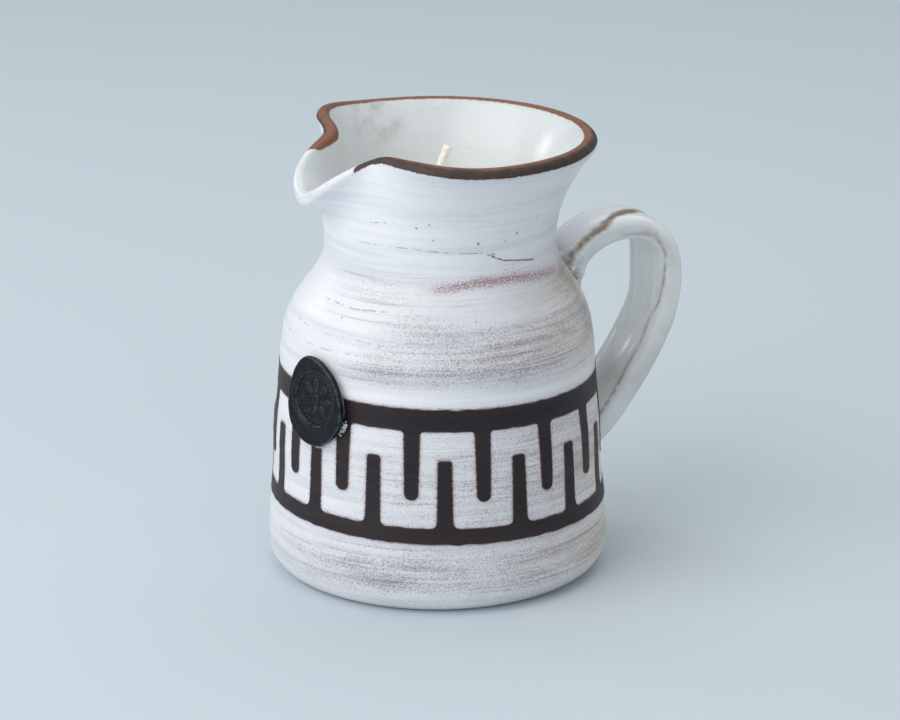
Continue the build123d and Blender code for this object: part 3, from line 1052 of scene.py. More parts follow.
@dataclass
class Seal:
    """Pressed disc of near-black sealing wax and the glue behind it."""

    form: JugForm
    radius: float = 13.0
    outline_shares: tuple = (
        0.82, 0.78, 0.78, 0.82, 0.92, 1.0, 0.93, 0.86,
        0.86, 0.94, 1.06, 1.12, 1.11, 1.03, 0.96, 0.9)
    thickness: float = 2.0
    edge: float = 0.6
    turn: float = 202.0
    height: float = 62.8
    standoff: float = 0.85
    field_radius: float = 8.2
    field_depth: float = 0.8
    field_wall: float = 0.2
    field_rim: float = 0.2
    field_rim_place: float = 0.75
    field_rim_spread: float = 0.32
    petal_count: int = 8
    petal_middle: float = 4.2
    petal_length: float = 4.6
    petal_width: float = 2.1
    petal_edge: tuple = (1.06, 0.72)
    petal_vein: float = 0.28
    petal_vein_spread: float = 0.16
    boss_radius: float = 1.5
    boss_edge: float = 0.4
    boss_dimple: float = 0.3
    boss_dimple_spread: float = 0.5
    relief_height: float = 0.5
    bead_ring: float = 7.2
    bead_count: int = 32
    bead_height: float = 0.3
    bead_spread: float = 0.33
    warp: tuple = (0.12, 0.07)
    grain_height: float = 0.02
    grain_pitches: tuple = (2.3, 3.1, 5.0)
    side_bulge: float = 0.012
    back_shares: tuple = (0.97, 0.6, 0.1)
    columns: int = 384
    rows: int = 110
    pad_shares: tuple = (0.05, 0.5, 0.9, 0.96, 0.9, 0.5, 0.05)
    pad_front_rings: int = 4
    pad_columns: int = 72
    glue_seed: int = 4
    glue_beads: int = 26
    glue_arcs: tuple = ((-100, -76), (-48, -24))
    glue_sizes: tuple = (0.18, 0.5)
    glue_stretch: tuple = (0.6, 1.5)
    glue_reach: tuple = (-0.3, 0.7)
    glue_depth: float = 0.3
    glue_rise: float = 0.9

    def frame(self) -> tuple:
        """Centre of the flat back, clear of the wall, and the ways right, up and out.

        Returns:
            The centre in mm and three unit directions.
        """
        reach = self.radius / 2
        around = np.array([self.height - reach, self.height + reach])
        lower, upper = self.form.wall_radius(around)
        lean = math.atan2(lower - upper, 2 * reach)
        turn = math.radians(self.turn)
        right = np.array([-math.sin(turn), math.cos(turn), 0.0])
        out = np.array([math.cos(turn) * math.cos(lean), math.sin(turn) * math.cos(lean),
                        math.sin(lean)])
        rise = np.linspace(-self.radius, self.radius, 60)
        wall = self.form.wall_radius(self.height + rise) + rise * math.tan(lean)
        radius = float(wall.max()) + self.standoff
        centre = np.array([radius * math.cos(turn), radius * math.sin(turn), self.height])
        return centre, right, np.cross(out, right), out

    def outline(self, turn: Array) -> Array:
        """Uneven radius of the pressed disc: a smooth closed curve through evenly turned points.

        Args:
            turn: angles round the middle, in radians.

        Returns:
            The radii, in mm.
        """
        count = len(self.outline_shares)
        places = np.arange(-2, count + 3) * 2 * math.pi / count
        shares = [self.outline_shares[step % count] for step in range(-2, count + 3)]
        return self.radius * smooth_through(places, shares, turn % (2 * math.pi))

    def placed(self, reach: Array, turn: Array, level: Array) -> Array:
        """Points at a reach and a turn round the middle, at a level over the flat back.

        Args:
            reach: distances from the middle, in mm.
            turn: angles round the middle, in radians.
            level: heights over the flat back, in mm.

        Returns:
            The points, in mm.
        """
        centre, right, up, out = self.frame()
        across, rise = reach * np.cos(turn), reach * np.sin(turn)
        return centre + across[..., None] * right + rise[..., None] * up + level[..., None] * out

    def relief(self, reach: Array, share: Array, turn: Array) -> Array:
        """Height of the front face: a rounded edge and a sunk field with a rosette.

        A petal is where an ellipse's equation, along and across the petal, is under one.

        Args:
            reach: distance from the middle in mm.
            share: the same as a share of the outline's.
            turn: angle round the middle.

        Returns:
            Height over the flat back, in mm.
        """
        inset = np.clip(1 - (1 - share) * self.radius / self.edge, 0, 1)
        front = self.thickness - self.edge * (1 - np.sqrt(1 - inset**2))
        from_field = reach - self.field_radius
        front = front - self.field_depth * soft_step(from_field, self.field_wall, -self.field_wall)
        rim = bump(from_field, self.field_rim_place, self.field_rim_spread)
        front = front + self.field_rim * rim
        period = 2 * math.pi / self.petal_count
        round_petal = (turn + period / 2) % period - period / 2
        side = reach * np.sin(round_petal)
        along = (reach * np.cos(round_petal) - self.petal_middle) / (self.petal_length / 2)
        leaf = soft_step(np.hypot(along, side / (self.petal_width / 2)), *self.petal_edge)
        boss = soft_step(reach, self.boss_radius, self.boss_radius - self.boss_edge)
        front = front + self.relief_height * (leaf + boss)
        front = front - self.petal_vein * leaf * bump(side, 0.0, self.petal_vein_spread)
        front = front - self.boss_dimple * bump(reach, 0.0, self.boss_dimple_spread)
        bead = 0.5 + 0.5 * np.cos(turn * self.bead_count)
        front = front + self.bead_height * bump(reach, self.bead_ring, self.bead_spread) * bead
        tilt, triple = self.warp
        sway = tilt * np.cos(turn - 0.7) * share + triple * np.cos(3 * turn + 1.9) * share**2
        grain = waves(np.degrees(turn), reach, 71, self.grain_pitches, 5)
        return front + sway + self.grain_height * grain

    def build(self) -> Piece:
        """Makes the disc as rings from the middle of the front, over the edge, to the back.

        Returns:
            The disc, marked with its slope.
        """
        turn = full_round(self.columns)
        outline = self.outline(turn)[None, :]
        share = np.linspace(0.004, 1, self.rows) ** 0.9
        reach = outline * share[:, None]
        front = self.relief(reach, share[:, None], turn[None, :])
        slope_out = np.gradient(front, axis=0) / np.gradient(reach, axis=0)
        step = 4 * math.pi / self.columns * reach
        slope_round = (np.roll(front, -1, axis=1) - np.roll(front, 1, axis=1)) / step
        down = np.linspace(1, 0, 8)[1:, None]
        side = front[-1] * down
        side_reach = outline * (1 + self.side_bulge * np.sin(np.pi * down))
        back = outline * np.array(self.back_shares)[:, None]
        level = np.concatenate([front, side, 0 * back])
        steep = np.concatenate([np.hypot(slope_out, slope_round), 0 * side, 0 * back])
        points = self.placed(np.concatenate([reach, side_reach, back]), turn, level)
        return closed_skin("pressed_seal", points, steep=steep)

    def build_glue(self) -> Piece:
        """Makes the pad behind the seal and small beads squeezed out round its lower edge.

        Returns:
            The glue.
        """
        draw = np.random.default_rng(self.glue_seed)
        centre, right, up, out = self.frame()
        turn = full_round(self.pad_columns)
        share = np.array(self.pad_shares)[:, None]
        reach = self.outline(turn)[None, :] * share
        depth = (reach * np.cos(turn)) ** 2 / (2 * self.form.belly_radius)
        front = np.arange(len(share))[:, None] < self.pad_front_rings
        level = np.where(front, -0.02, -self.standoff * 0.45 - depth)
        parts = [self.placed(reach, turn, level)]
        tilt = np.linspace(0.25, math.pi - 0.25, 6)[:, None]
        around = full_round(9)[None, :]
        for _ in range(self.glue_beads):
            where = math.radians(draw.choice([draw.uniform(*arc) for arc in self.glue_arcs]))
            size = draw.uniform(*self.glue_sizes)
            stretch = draw.uniform(*self.glue_stretch, 3)
            edge = float(self.outline(np.array(where))) + draw.uniform(*self.glue_reach)
            x, y = edge * math.cos(where), edge * math.sin(where)
            z = -x * x / (2 * self.form.belly_radius) - self.glue_depth
            z = z + draw.uniform(0.0, self.glue_rise)
            middle = centre + x * right + y * up + z * out
            lump = size * (1 + 0.25 * np.sin(3 * around + draw.uniform(0, 6)) * np.sin(tilt))
            ball = np.stack([lump * np.sin(tilt) * np.cos(around) * stretch[0],
                             lump * np.sin(tilt) * np.sin(around) * stretch[1],
                             lump * np.cos(tilt) * stretch[2] + 0 * around], axis=-1)
            parts.append(middle + ball)
        return closed_skin("squeezed_glue", *parts)


@dataclass
class Candle:
    """Poured wax with its skin creeping up the wall and the wick, and the cotton wick."""

    form: JugForm
    wax_height: float = 113.0
    gap: float = 0.12
    wick_radius: float = 1.25
    straight_height: float = 117.5
    bend_radius: float = 27.0
    bend_angle: float = 30.0
    wick_turn: float = -23.0
    wick_foot: float = 8.2
    plait_pitch: float = 4.4
    plait_depth: float = 0.2
    tip_round: float = 0.7
    tip_swell: float = 0.16
    fine_length: float = 8.0
    creep: float = 0.9
    creep_width: float = 1.3
    climb: float = 0.8
    climb_width: float = 1.5
    dish: float = 0.7
    ripple: float = 0.05
    ripple_pitches: tuple = (7.0, 11.0, 17.0)
    top_crowding: float = 1.6
    corner_top: float = 16.0

    def build_wax(self) -> Piece:
        """Makes the wax as rings over its top, down the jug's inside and under to the floor.

        Returns:
            The wax.
        """
        form = self.form
        phi = np.linspace(-180.0, 180.0, 144, endpoint=False)
        edge = form.inner_radius(phi, self.wax_height) - self.gap
        share = 1 - (1 - np.linspace(0.03, 1, 60)) ** self.top_crowding
        reach = share[:, None] * edge[None, :]
        creep = self.creep * np.exp(-(edge[None, :] - reach) / self.creep_width)
        wick = self.climb * np.exp(-np.maximum(reach - self.wick_radius, 0) / self.climb_width)
        dish = -self.dish * np.cos(share[:, None] * math.pi / 2) ** 2
        ripple = self.ripple * waves(phi[None, :], reach, 61, self.ripple_pitches, 3)
        top = self.wax_height - 0.6 + creep + wick + dish + ripple
        levels = np.concatenate([np.linspace(self.wax_height - 1, form.neck_height, 6),
                                 np.linspace(form.neck_height, self.corner_top, 24)[1:]])
        sides = np.stack([form.inner_radius(phi, level) for level in levels]) - self.gap
        low = form.floor_thickness + self.gap
        turn = np.linspace(0, math.pi / 2, 6)[1:, None]
        corner = form.inner_corner
        under = sides[-1] - corner * (1 - np.cos(turn))
        under_z = self.corner_top - (self.corner_top - low) * np.sin(turn) + 0 * under
        radius = np.concatenate([reach, sides, under, under[-1:] / 3])
        height = np.concatenate([top, levels[:, None] + 0 * sides, under_z, under_z[-1:]])
        return closed_skin("poured_wax", form.place(radius, height, phi[None, :]))

    def build_wick(self) -> Piece:
        """Carries a plaited round section up the wick and over its bend to a blunt tip.

        The plait is the larger of two opposite spirals of sines.

        Returns:
            The wick.
        """
        bend = math.radians(self.bend_angle)
        straight = self.straight_height - self.wick_foot
        length = straight + bend * self.bend_radius
        fine = straight - self.fine_length
        at = np.concatenate([np.linspace(0, fine, 30), np.linspace(fine, length, 110)[1:]])
        turn = np.clip(at - straight, 0, None) / self.bend_radius
        across = self.bend_radius * (1 - np.cos(turn))
        up = self.wick_foot + np.minimum(at, straight) + self.bend_radius * np.sin(turn)
        around = full_round(48)
        phase = 2 * math.pi * at[:, None] / self.plait_pitch
        strand = np.maximum(np.abs(np.sin(1.5 * around + phase)),
                            np.abs(np.sin(1.5 * around - phase)))
        tip = np.clip((length - at) / self.tip_round, 0, 1)[:, None]
        swell = 1 + self.tip_swell * bump(at, length - 1.1, 1.0)[:, None]
        radius = self.wick_radius * swell * (1 - self.plait_depth * (1 - strand))
        radius = radius * np.sqrt(np.maximum(1 - (1 - tip) ** 2, 0.05))
        lean = math.radians(self.wick_turn)
        along = np.array([math.cos(lean), math.sin(lean), 0.0])
        side = np.array([-math.sin(lean), math.cos(lean), 0.0])
        upright = np.array([0, 0, 1.0])
        bent = np.cos(turn)[:, None, None] * along - np.sin(turn)[:, None, None] * upright
        middle = across[:, None] * along + up[:, None] * upright
        points = middle[:, None, :] + (radius * np.cos(around))[..., None] * bent
        return closed_skin("cotton_wick", points + (radius * np.sin(around))[..., None] * side)


# Materials


class Signal:
    """A number, place or colour in a node tree; arithmetic on it adds Math nodes."""

    def __init__(self, graph: "Graph", socket: bpy.types.NodeSocket) -> None:
        """Keeps the socket and its graph."""
        self.graph, self.socket = graph, socket

    def __add__(self, other: object) -> "Signal":
        """Sum."""
        return self.graph.math("ADD", self, other)

    def __sub__(self, other: object) -> "Signal":
        """Difference."""
        return self.graph.math("SUBTRACT", self, other)

    def __rsub__(self, other: object) -> "Signal":
        """Difference from a plain number."""
        return self.graph.math("SUBTRACT", other, self)

    def __mul__(self, other: object) -> "Signal":
        """Product."""
        return self.graph.math("MULTIPLY", self, other)


class Graph:
    """Short calls for building a node tree."""

    def __init__(self, tree: bpy.types.NodeTree) -> None:
        """Starts from an empty tree."""
        self.tree = tree
        tree.nodes.clear()

    def put(self, socket: bpy.types.NodeSocket, value: object) -> None:
        """Links a socket to a signal, or sets its value.

        Args:
            socket: the input socket.
            value: a signal, number, place or colour.
        """
        if isinstance(value, Signal):
            self.tree.links.new(value.socket, socket)
        else:
            socket.default_value = value

    def node(self, kind: str, **options: object) -> bpy.types.Node:
        """Adds a node of a kind with its options set.

        Args:
            kind: the node's type, without its prefix.
            options: its own options.

        Returns:
            The node.
        """
        made = self.tree.nodes.new("ShaderNode" + kind)
        for key, value in options.items():
            setattr(made, key, value)
        return made

    def fed(self, kind: str, out: object, inputs: dict, **options: object) -> Signal:
        """Adds a node with its inputs and options set, and gives one of its outputs.

        Args:
            kind: the node's type, without its prefix.
            out: the output's name or number.
            inputs: values by input.
            options: the node's own options.

        Returns:
            The output.
        """
        made = self.node(kind, **options)
        for key, value in inputs.items():
            self.put(made.inputs[key], value)
        return Signal(self, made.outputs[out])

    def math(self, operation: str, *values: object) -> Signal:
        """One math operation on numbers or signals."""
        return self.fed("Math", 0, dict(enumerate(values)), operation=operation)

    def root_sum(self, first: Signal, second: Signal) -> Signal:
        """Length of the slanting side over two sides at right angles."""
        return self.math("SQRT", first * first + second * second)

    def fade(self, value: Signal, low: object, high: object) -> Signal:
        """Smooth step from 0 at low to 1 at high."""
        inputs = {"Value": value, "From Min": low, "From Max": high}
        return self.fed("MapRange", "Result", inputs, interpolation_type="SMOOTHSTEP")

    def mix(self, share: Signal, first: object, second: object) -> Signal:
        """Mixes two colours by a share."""
        return self.fed("Mix", 2, {"Factor": share, 6: first, 7: second}, data_type="RGBA")

    def scaled(self, place: Signal, scale: tuple) -> Signal:
        """A place stretched along each axis."""
        return self.fed("Mapping", 0, {"Vector": place, "Scale": scale})

    def noise(self, place: Signal, scale: object, detail: float = 3.0,
              rough: float = 0.55) -> Signal:
        """Smooth noise.

        Args:
            place: where it is read.
            scale: waves per unit of the place, as one number or one for each axis.
            detail: how many finer layers it has.
            rough: strength of each finer layer against the one before.

        Returns:
            The noise, mostly between 0.3 and 0.7.
        """
        if isinstance(scale, tuple):
            place, scale = self.scaled(place, scale), 1.0
        inputs = {"Vector": place, "Scale": scale, "Detail": detail, "Roughness": rough}
        return self.fed("TexNoise", "Fac", inputs)

    def split(self, place: Signal) -> list:
        """The x, y and z of a place, or the red, green and blue of a colour.

        Args:
            place: the place or colour.

        Returns:
            The three numbers.
        """
        made = self.node("SeparateXYZ")
        self.put(made.inputs[0], place)
        return [Signal(self, out) for out in made.outputs]

    def object_place(self) -> Signal:
        """Object coordinates, in metres."""
        return self.fed("TexCoord", "Object", {})

    def mark(self, name: str) -> Signal:
        """A number that the mesh holds for each point."""
        return self.fed("Attribute", "Fac", {}, attribute_name=name)

    def call(self, group: bpy.types.NodeTree, **inputs: object) -> SimpleNamespace:
        """Places a node group with its inputs set, and gives its outputs in small letters.

        Args:
            group: the node group.
            inputs: values by input, in small letters.

        Returns:
            The group's outputs.
        """
        made = self.node("Group", node_tree=group)
        for key, value in inputs.items():
            self.put(made.inputs[key.capitalize()], value)
        return SimpleNamespace(**{out.name.lower(): Signal(self, out) for out in made.outputs})


def make_group(name: str, inputs: str, outputs: str, build: Callable) -> bpy.types.NodeTree:
    """Makes a node group, where a socket called Place is a vector and the others numbers.

    Args:
        name: the group's name.
        inputs: names of its inputs, spaced.
        outputs: names of its outputs, spaced.
        build: gives the outputs in order, from the graph and the inputs in small letters.

    Returns:
        The group.
    """
    tree = bpy.data.node_groups.new(name, "ShaderNodeTree")
    graph = Graph(tree)
    for side, names in (("INPUT", inputs), ("OUTPUT", outputs)):
        for key in names.split():
            kind = "NodeSocketVector" if key == "Place" else "NodeSocketFloat"
            tree.interface.new_socket(key, in_out=side, socket_type=kind)
    entry = tree.nodes.new("NodeGroupInput")
    leave = tree.nodes.new("NodeGroupOutput")
    given = {key.lower(): Signal(graph, entry.outputs[key]) for key in inputs.split()}
    for key, value in zip(outputs.split(), build(graph, SimpleNamespace(**given))):
        graph.put(leave.inputs[key], value)
    return tree


def jug_place(graph: Graph, _: SimpleNamespace) -> tuple:
    """Object coordinates in mm, with angle from the spout, height and distance from the axis.

    Args:
        graph: the tree that the nodes go into.
        _: no inputs.

    Returns:
        The place, angle, height and distance.
    """
    place = graph.scaled(graph.object_place(), (1 / MM,) * 3)
    x, y, z = graph.split(place)
    angle = graph.math("ARCTAN2", y, x * -1.0) * math.degrees(1)
    return place, angle, z, graph.root_sum(x, y)


def clay_specks(graph: Graph, given: SimpleNamespace, start: float = 0.71, gain: float = 0.36,
                soft: float = 0.13) -> tuple:
    """Specks of clay that show through: grainy noise over a level that cover lowers.

    Args:
        graph: the tree that the nodes go into.
        given: the group's inputs.
        start: the level with no cover.
        gain: how far full cover lowers it.
        soft: how far over it a speck is full.

    Returns:
        The mask.
    """
    grain = graph.noise(graph.scaled(given.place, (1.0, 1.0, 1.35)), given.grain, 2.0, 0.7)
    level = start - given.cover * gain
    return (graph.fade(grain, level, level + soft),)


def throwing_lines(graph: Graph, given: SimpleNamespace) -> tuple:
    """Fine and broad lines that throwing leaves: noise drawn out round the jug."""
    return (graph.noise(given.place, (0.02, 0.02, 1.5), 4.0, 0.65),
            graph.noise(given.place, (0.012, 0.012, 0.22), 3.0, 0.6))


def wall_mark(graph: Graph, given: SimpleNamespace, wander: float = 1.2, end: float = 1.0,
              gap: float = 0.16) -> tuple:
    """One line on the wall between two angles, soft at its ends and broken along it.

    Args:
        graph: the tree that the nodes go into.
        given: the group's inputs.
        wander: how far the line wanders, in mm.
        end: softness of its ends, in degrees.
        gap: softness of its breaks.

    Returns:
        The mask.
    """
    drift = (graph.noise(given.place, (0.12, 0.12, 0.02), 2.0) - 0.5) * wander
    middle = given.level + (given.angle - given.start) * given.tilt + drift
    away = graph.math("ABSOLUTE", graph.math("DIVIDE", given.height - middle, given.width))
    body = 1.0 - graph.fade(away, 0.25, 1.0)
    opened = graph.fade(given.angle, given.end - end, given.end + end)
    closed = graph.fade(given.start - given.angle, -end, end)
    grain = graph.noise(given.place, 0.55, 3.0, 0.6)
    broken = graph.fade(grain, given.breaks, given.breaks + gap)
    return (opened * closed * body * broken * given.strength,)


def iron_spot(graph: Graph, given: SimpleNamespace, rag: float = 0.5,
              soft: float = 0.15) -> tuple:
    """One round iron spot at an angle and a height, a little ragged.

    Args:
        graph: the tree that the nodes go into.
        given: the group's inputs.
        rag: how far its edge wanders, in mm.
        soft: half width of its soft edge, in mm.

    Returns:
        The mask.
    """
    side = (given.angle - given.phi) * math.radians(1) * given.radius
    far = graph.root_sum(side, given.height - given.level)
    past = far + (graph.noise(given.place, 2.2) - 0.5) * rag - given.size
    return (graph.fade(past, soft, -soft),)


def fine_relief(graph: Graph, given: SimpleNamespace) -> tuple:
    """Height of the finest relief: two sizes of noise, and one drawn out round the jug.

    Args:
        graph: the tree that the nodes go into.
        given: the group's inputs.

    Returns:
        The height.
    """
    pits = graph.noise(given.place, 1.6, 2.0, 0.5) + graph.noise(given.place, 0.35, 2.0, 0.5)
    lines = graph.noise(given.place, (0.03, 0.03, 2.2), 3.0, 0.6)
    return (pits * given.pits + lines * given.lines,)


class Effects:
    """Node groups that several finishes share."""

    def __init__(self) -> None:
        """Makes each group once."""
        self.place = make_group("place_on_jug", "", "Place Angle Height Radius", jug_place)
        self.specks = make_group("clay_specks", "Place Cover Grain", "Mask", clay_specks)
        self.streaks = make_group("throwing_lines", "Place", "Fine Broad", throwing_lines)
        self.marks = make_group(
            "wall_mark", "Place Angle Height Start End Level Tilt Width Breaks Strength", "Mask",
            wall_mark)
        self.spots = make_group(
            "iron_spot", "Place Angle Height Radius Phi Level Size", "Mask", iron_spot)
        self.relief = make_group("fine_relief", "Place Pits Lines", "Height", fine_relief)


def start_material(name: str, **uniform: object) -> tuple:
    """Makes a material with a Principled shader whose uniform values are set on it.

    Args:
        name: the material's name.
        uniform: values for the shader's sockets, with underscores for spaces.

    Returns:
        The material, its graph and its shader node.
    """
    material = bpy.data.materials.new(name)
    material.use_nodes = True
    graph = Graph(material.node_tree)
    shader = graph.node("BsdfPrincipled")
    graph.tree.links.new(shader.outputs[0], graph.node("OutputMaterial").inputs["Surface"])
    for key, value in uniform.items():
        shader.inputs[key.replace("_", " ")].default_value = value
    return material, graph, shader


class Coating:
    """A finish in the making: its material, its graph and the place on the jug."""

    def __init__(self, effects: Effects, name: str, **uniform: object) -> None:
        """Starts the material, with its uniform values set on the shader.

        Args:
            effects: the shared node groups.
            name: the material's name.
            uniform: values for the shader's sockets.
        """
        self.effects = effects
        self.material, self.graph, self.shader = start_material(name, **uniform)
        self.at = self.graph.call(effects.place)

    def dressed(self, colour: Signal, rough: Signal, pits: float, lines: float, depth: float,
                kept: Signal | None = None) -> bpy.types.Material:
        """Feeds the shader its colour and roughness, and fine relief through a Bump node.

        Args:
            colour: the base colour.
            rough: the roughness.
            pits: strength of the relief's grain.
            lines: strength of the relief's lines.
            depth: depth of the relief in mm.
            kept: share of the relief that is kept, if not all of it.

        Returns:
            The material.
        """
        graph = self.graph
        relief = graph.call(self.effects.relief, place=self.at.place, pits=pits, lines=lines)
        height = relief.height if kept is None else relief.height * kept
        inputs = {"Distance": depth * MM, "Strength": 1.0, "Height": height}
        graph.put(self.shader.inputs["Normal"], graph.fed("Bump", "Normal", inputs))
        graph.put(self.shader.inputs["Base Color"], colour)
        graph.put(self.shader.inputs["Roughness"], rough)
        return self.material


@dataclass(frozen=True)
class WallMark:
    """One line where the dark clay shows through the glaze: angles, height, slope and width."""

    start: float
    end: float
    level: float
    tilt: float
    width: float
    breaks: float
    strength: float


@dataclass(frozen=True)
class IronSpot:
    """One dark spot in the glaze, at an angle and a height."""

    phi: float
    level: float
    size: float


@dataclass(frozen=True)
class GlazeFinish:
    """White glaze over dark clay, thin on throwing lines, with a bare brown lip."""

    effects: Effects
    white: tuple = (0.81, 0.82, 0.845, 1)
    cool: tuple = (0.70, 0.73, 0.79, 1)
    beige: tuple = (0.70, 0.63, 0.53, 1)
    veil: tuple = (0.47, 0.45, 0.50, 1)
    speck_violet: tuple = (0.18, 0.145, 0.17, 1)
    speck_beige: tuple = (0.34, 0.265, 0.20, 1)
    speck_brown: tuple = (0.185, 0.145, 0.145, 1)
    speck_red: tuple = (0.28, 0.12, 0.135, 1)
    speck_grain: float = 1.9
    inside: tuple = (0.64, 0.675, 0.685, 1)
    olive: tuple = (0.40, 0.40, 0.35, 1)
    clay: tuple = (0.115, 0.08, 0.07, 1)
    rust: tuple = (0.25, 0.125, 0.09, 1)
    bare: tuple = (0.215, 0.086, 0.045, 1)
    bare_dark: tuple = (0.036, 0.022, 0.018, 1)
    strap: tuple = (0.72, 0.755, 0.765, 1)
    strap_white: tuple = (0.88, 0.89, 0.90, 1)
    strap_green: tuple = (0.84, 0.885, 0.87, 1)
    strap_grey: tuple = (0.60, 0.625, 0.62, 1)
    strap_brown: tuple = (0.215, 0.14, 0.078, 1)
    strap_line: tuple = (0.26, 0.235, 0.225, 1)
    wall_relief: float = 0.09
    strap_relief: float = 0.08
    stipple_share: float = 0.6
    veil_share: float = 0.62
    warm_share: float = 0.38
    lines: tuple = (
        WallMark(-14, -52, 113.2, -0.10, 0.26, 0.50, 0.75),
        WallMark(-22, -43, 108.5, -0.014, 0.24, 0.46, 0.6),
        WallMark(-43, -63, 108.8, 0.03, 0.24, 0.44, 0.6),
        WallMark(-63, -89, 108.2, 0.052, 0.26, 0.42, 0.7),
        WallMark(-88.5, -96, 107.0, 0.13, 0.75, 0.36, 0.95),
        WallMark(-94, -101.5, 105.8, 0.27, 0.5, 0.3, 0.9),
        WallMark(-101, -121, 103.8, 0.113, 0.36, 0.3, 0.95),
        WallMark(-91, -107, 100.5, -0.02, 0.26, 0.46, 0.5),
        WallMark(-9, -30, 89.9, 0.024, 0.3, 0.44, 0.55),
        WallMark(-29, -44, 89.4, -0.034, 0.3, 0.42, 0.55),
        WallMark(-44, -64, 89.9, 0.0, 0.26, 0.48, 0.45),
        WallMark(-85, -125, 116.8, 0.02, 0.22, 0.5, 0.4),
        WallMark(-70, -120, 85.2, 0.0, 0.3, 0.46, 0.4),
        WallMark(4, -60, 82.0, 0.01, 0.3, 0.47, 0.45),
        WallMark(8, -48, 77.5, 0.0, 0.3, 0.47, 0.4),
    )
    spots: tuple = (
        IronSpot(-57.7, 115.4, 0.32), IronSpot(-63.8, 116.7, 0.26), IronSpot(-65.6, 111.8, 0.22),
        IronSpot(-86.6, 110.2, 0.42), IronSpot(-106.7, 111.9, 0.36), IronSpot(-100.6, 110.0, 0.26),
        IronSpot(-24.9, 86.7, 0.24), IronSpot(-83.5, 88.0, 0.24), IronSpot(-118.0, 115.0, 0.25),
    )
    spot_strength: float = 0.8

    def wall_colour(self, graph: Graph, at: SimpleNamespace) -> Signal:
        """Colour of the outer glaze, with tint, throwing lines, specks and marks.

        Args:
            graph: the tree that the nodes go into.
            at: the place on the jug.

        Returns:
            The colour.
        """
        cover, red = graph.mark("cover"), graph.mark("rust")
        streaks = graph.call(self.effects.streaks, place=at.place)
        drawn = graph.fade(streaks.fine, 0.32, 0.66) + graph.fade(streaks.broad, 0.36, 0.62)
        patches = graph.fade(graph.noise(at.place, (0.05, 0.05, 0.12), 3.0, 0.6), 0.35, 0.65)
        density = cover * (drawn * 0.40 + 0.48) * (patches * 0.3 + 0.85)
        clouds = graph.noise(at.place, 0.035, 3.0, 0.6)
        warm = graph.fade(at.angle, -75.0, -155.0) + graph.fade(at.angle, 115.0, 180.0)
        warm = warm * graph.fade(at.height, 112.0, 90.0) * graph.fade(clouds, 0.15, 0.55)
        colour = graph.mix(graph.fade(streaks.broad, 0.45, 0.7), self.white, self.cool)
        veil = graph.mix(warm, self.veil, self.beige)
        colour = graph.mix(density * self.veil_share + warm * self.warm_share, colour, veil)
        thin = graph.fade(streaks.fine, 0.58, 0.70) * graph.fade(clouds, 0.35, 0.6)
        colour = graph.mix(thin * (cover * 0.75 + 0.16), colour, self.speck_violet)
        browner = graph.fade(graph.noise(at.place, 0.12), 0.4, 0.6)
        hue = graph.mix(browner, self.speck_violet, self.speck_brown)
        hue = graph.mix(warm, hue, self.speck_beige)
        hue = graph.mix(red, hue, self.speck_red)
        haze = graph.fade(graph.noise(at.place, 2.1, 2.0, 0.75), 0.44, 0.60)
        colour = graph.mix(haze * density * 0.45, colour, hue)
        filled = graph.math("MAXIMUM", density, red * 0.95)
        specks = graph.call(self.effects.specks, place=at.place, cover=filled,
                            grain=self.speck_grain)
        colour = graph.mix(specks.mask * (red * 0.15 + self.stipple_share), colour, hue)
        colour = graph.mix(red * 0.2, colour, self.speck_red)
        for mark in self.lines:
            made = graph.call(self.effects.marks, place=at.place, angle=at.angle,
                              height=at.height, **vars(mark))
            colour = graph.mix(made.mask, colour, self.clay)
        for spot in self.spots:
            made = graph.call(self.effects.spots, **vars(at), **vars(spot))
            colour = graph.mix(made.mask * self.spot_strength, colour, self.clay)
        return self.by_the_slip(graph, at.place, colour)

    def by_the_slip(self, graph: Graph, place: Signal, colour: Signal) -> Signal:
        """Feathers the wall towards the slip: a rusty rim, then a bled grey-violet stipple.

        Args:
            graph: the tree that the nodes go into.
            place: the place on the jug, in mm.
            colour: the colour so far.

        Returns:
            The colour.
        """
        lines = graph.noise(place, (0.35, 0.35, 2.4), 3.0, 0.65)
        rag = (lines - 0.5) + (graph.noise(place, 2.0, 2.0, 0.7) - 0.5)
        edge = graph.mark("slip_mm") + rag * 1.7
        colour = graph.mix(graph.fade(edge, 1.3, 0.1) * 0.6, colour, self.veil)
        rim = graph.mix(graph.fade(lines, 0.4, 0.6), self.clay, self.rust)
        return graph.mix(graph.fade(edge, 0.42, 0.0) * 0.55, colour, rim)

    def with_spots(self, graph: Graph, place: Signal, colour: Signal) -> Signal:
        """Adds rare round iron spots, one in some cells of a loose grid.

        Args:
            graph: the tree that the nodes go into.
            place: the place on the jug, in mm.
            colour: the colour so far.

        Returns:
            The colour.
        """
        cells = graph.node("TexVoronoi")
        graph.put(cells.inputs["Vector"], place)
        cells.inputs["Scale"].default_value = 0.16
        chance = graph.split(Signal(graph, cells.outputs["Color"]))[0]
        size = graph.fade(chance, 0.62, 1.0) * 0.05
        inside = graph.fade(Signal(graph, cells.outputs["Distance"]) - size, 0.03, -0.02)
        inside = inside * graph.math("GREATER_THAN", size, 0.004)
        return graph.mix(inside * 0.6, colour, self.clay)

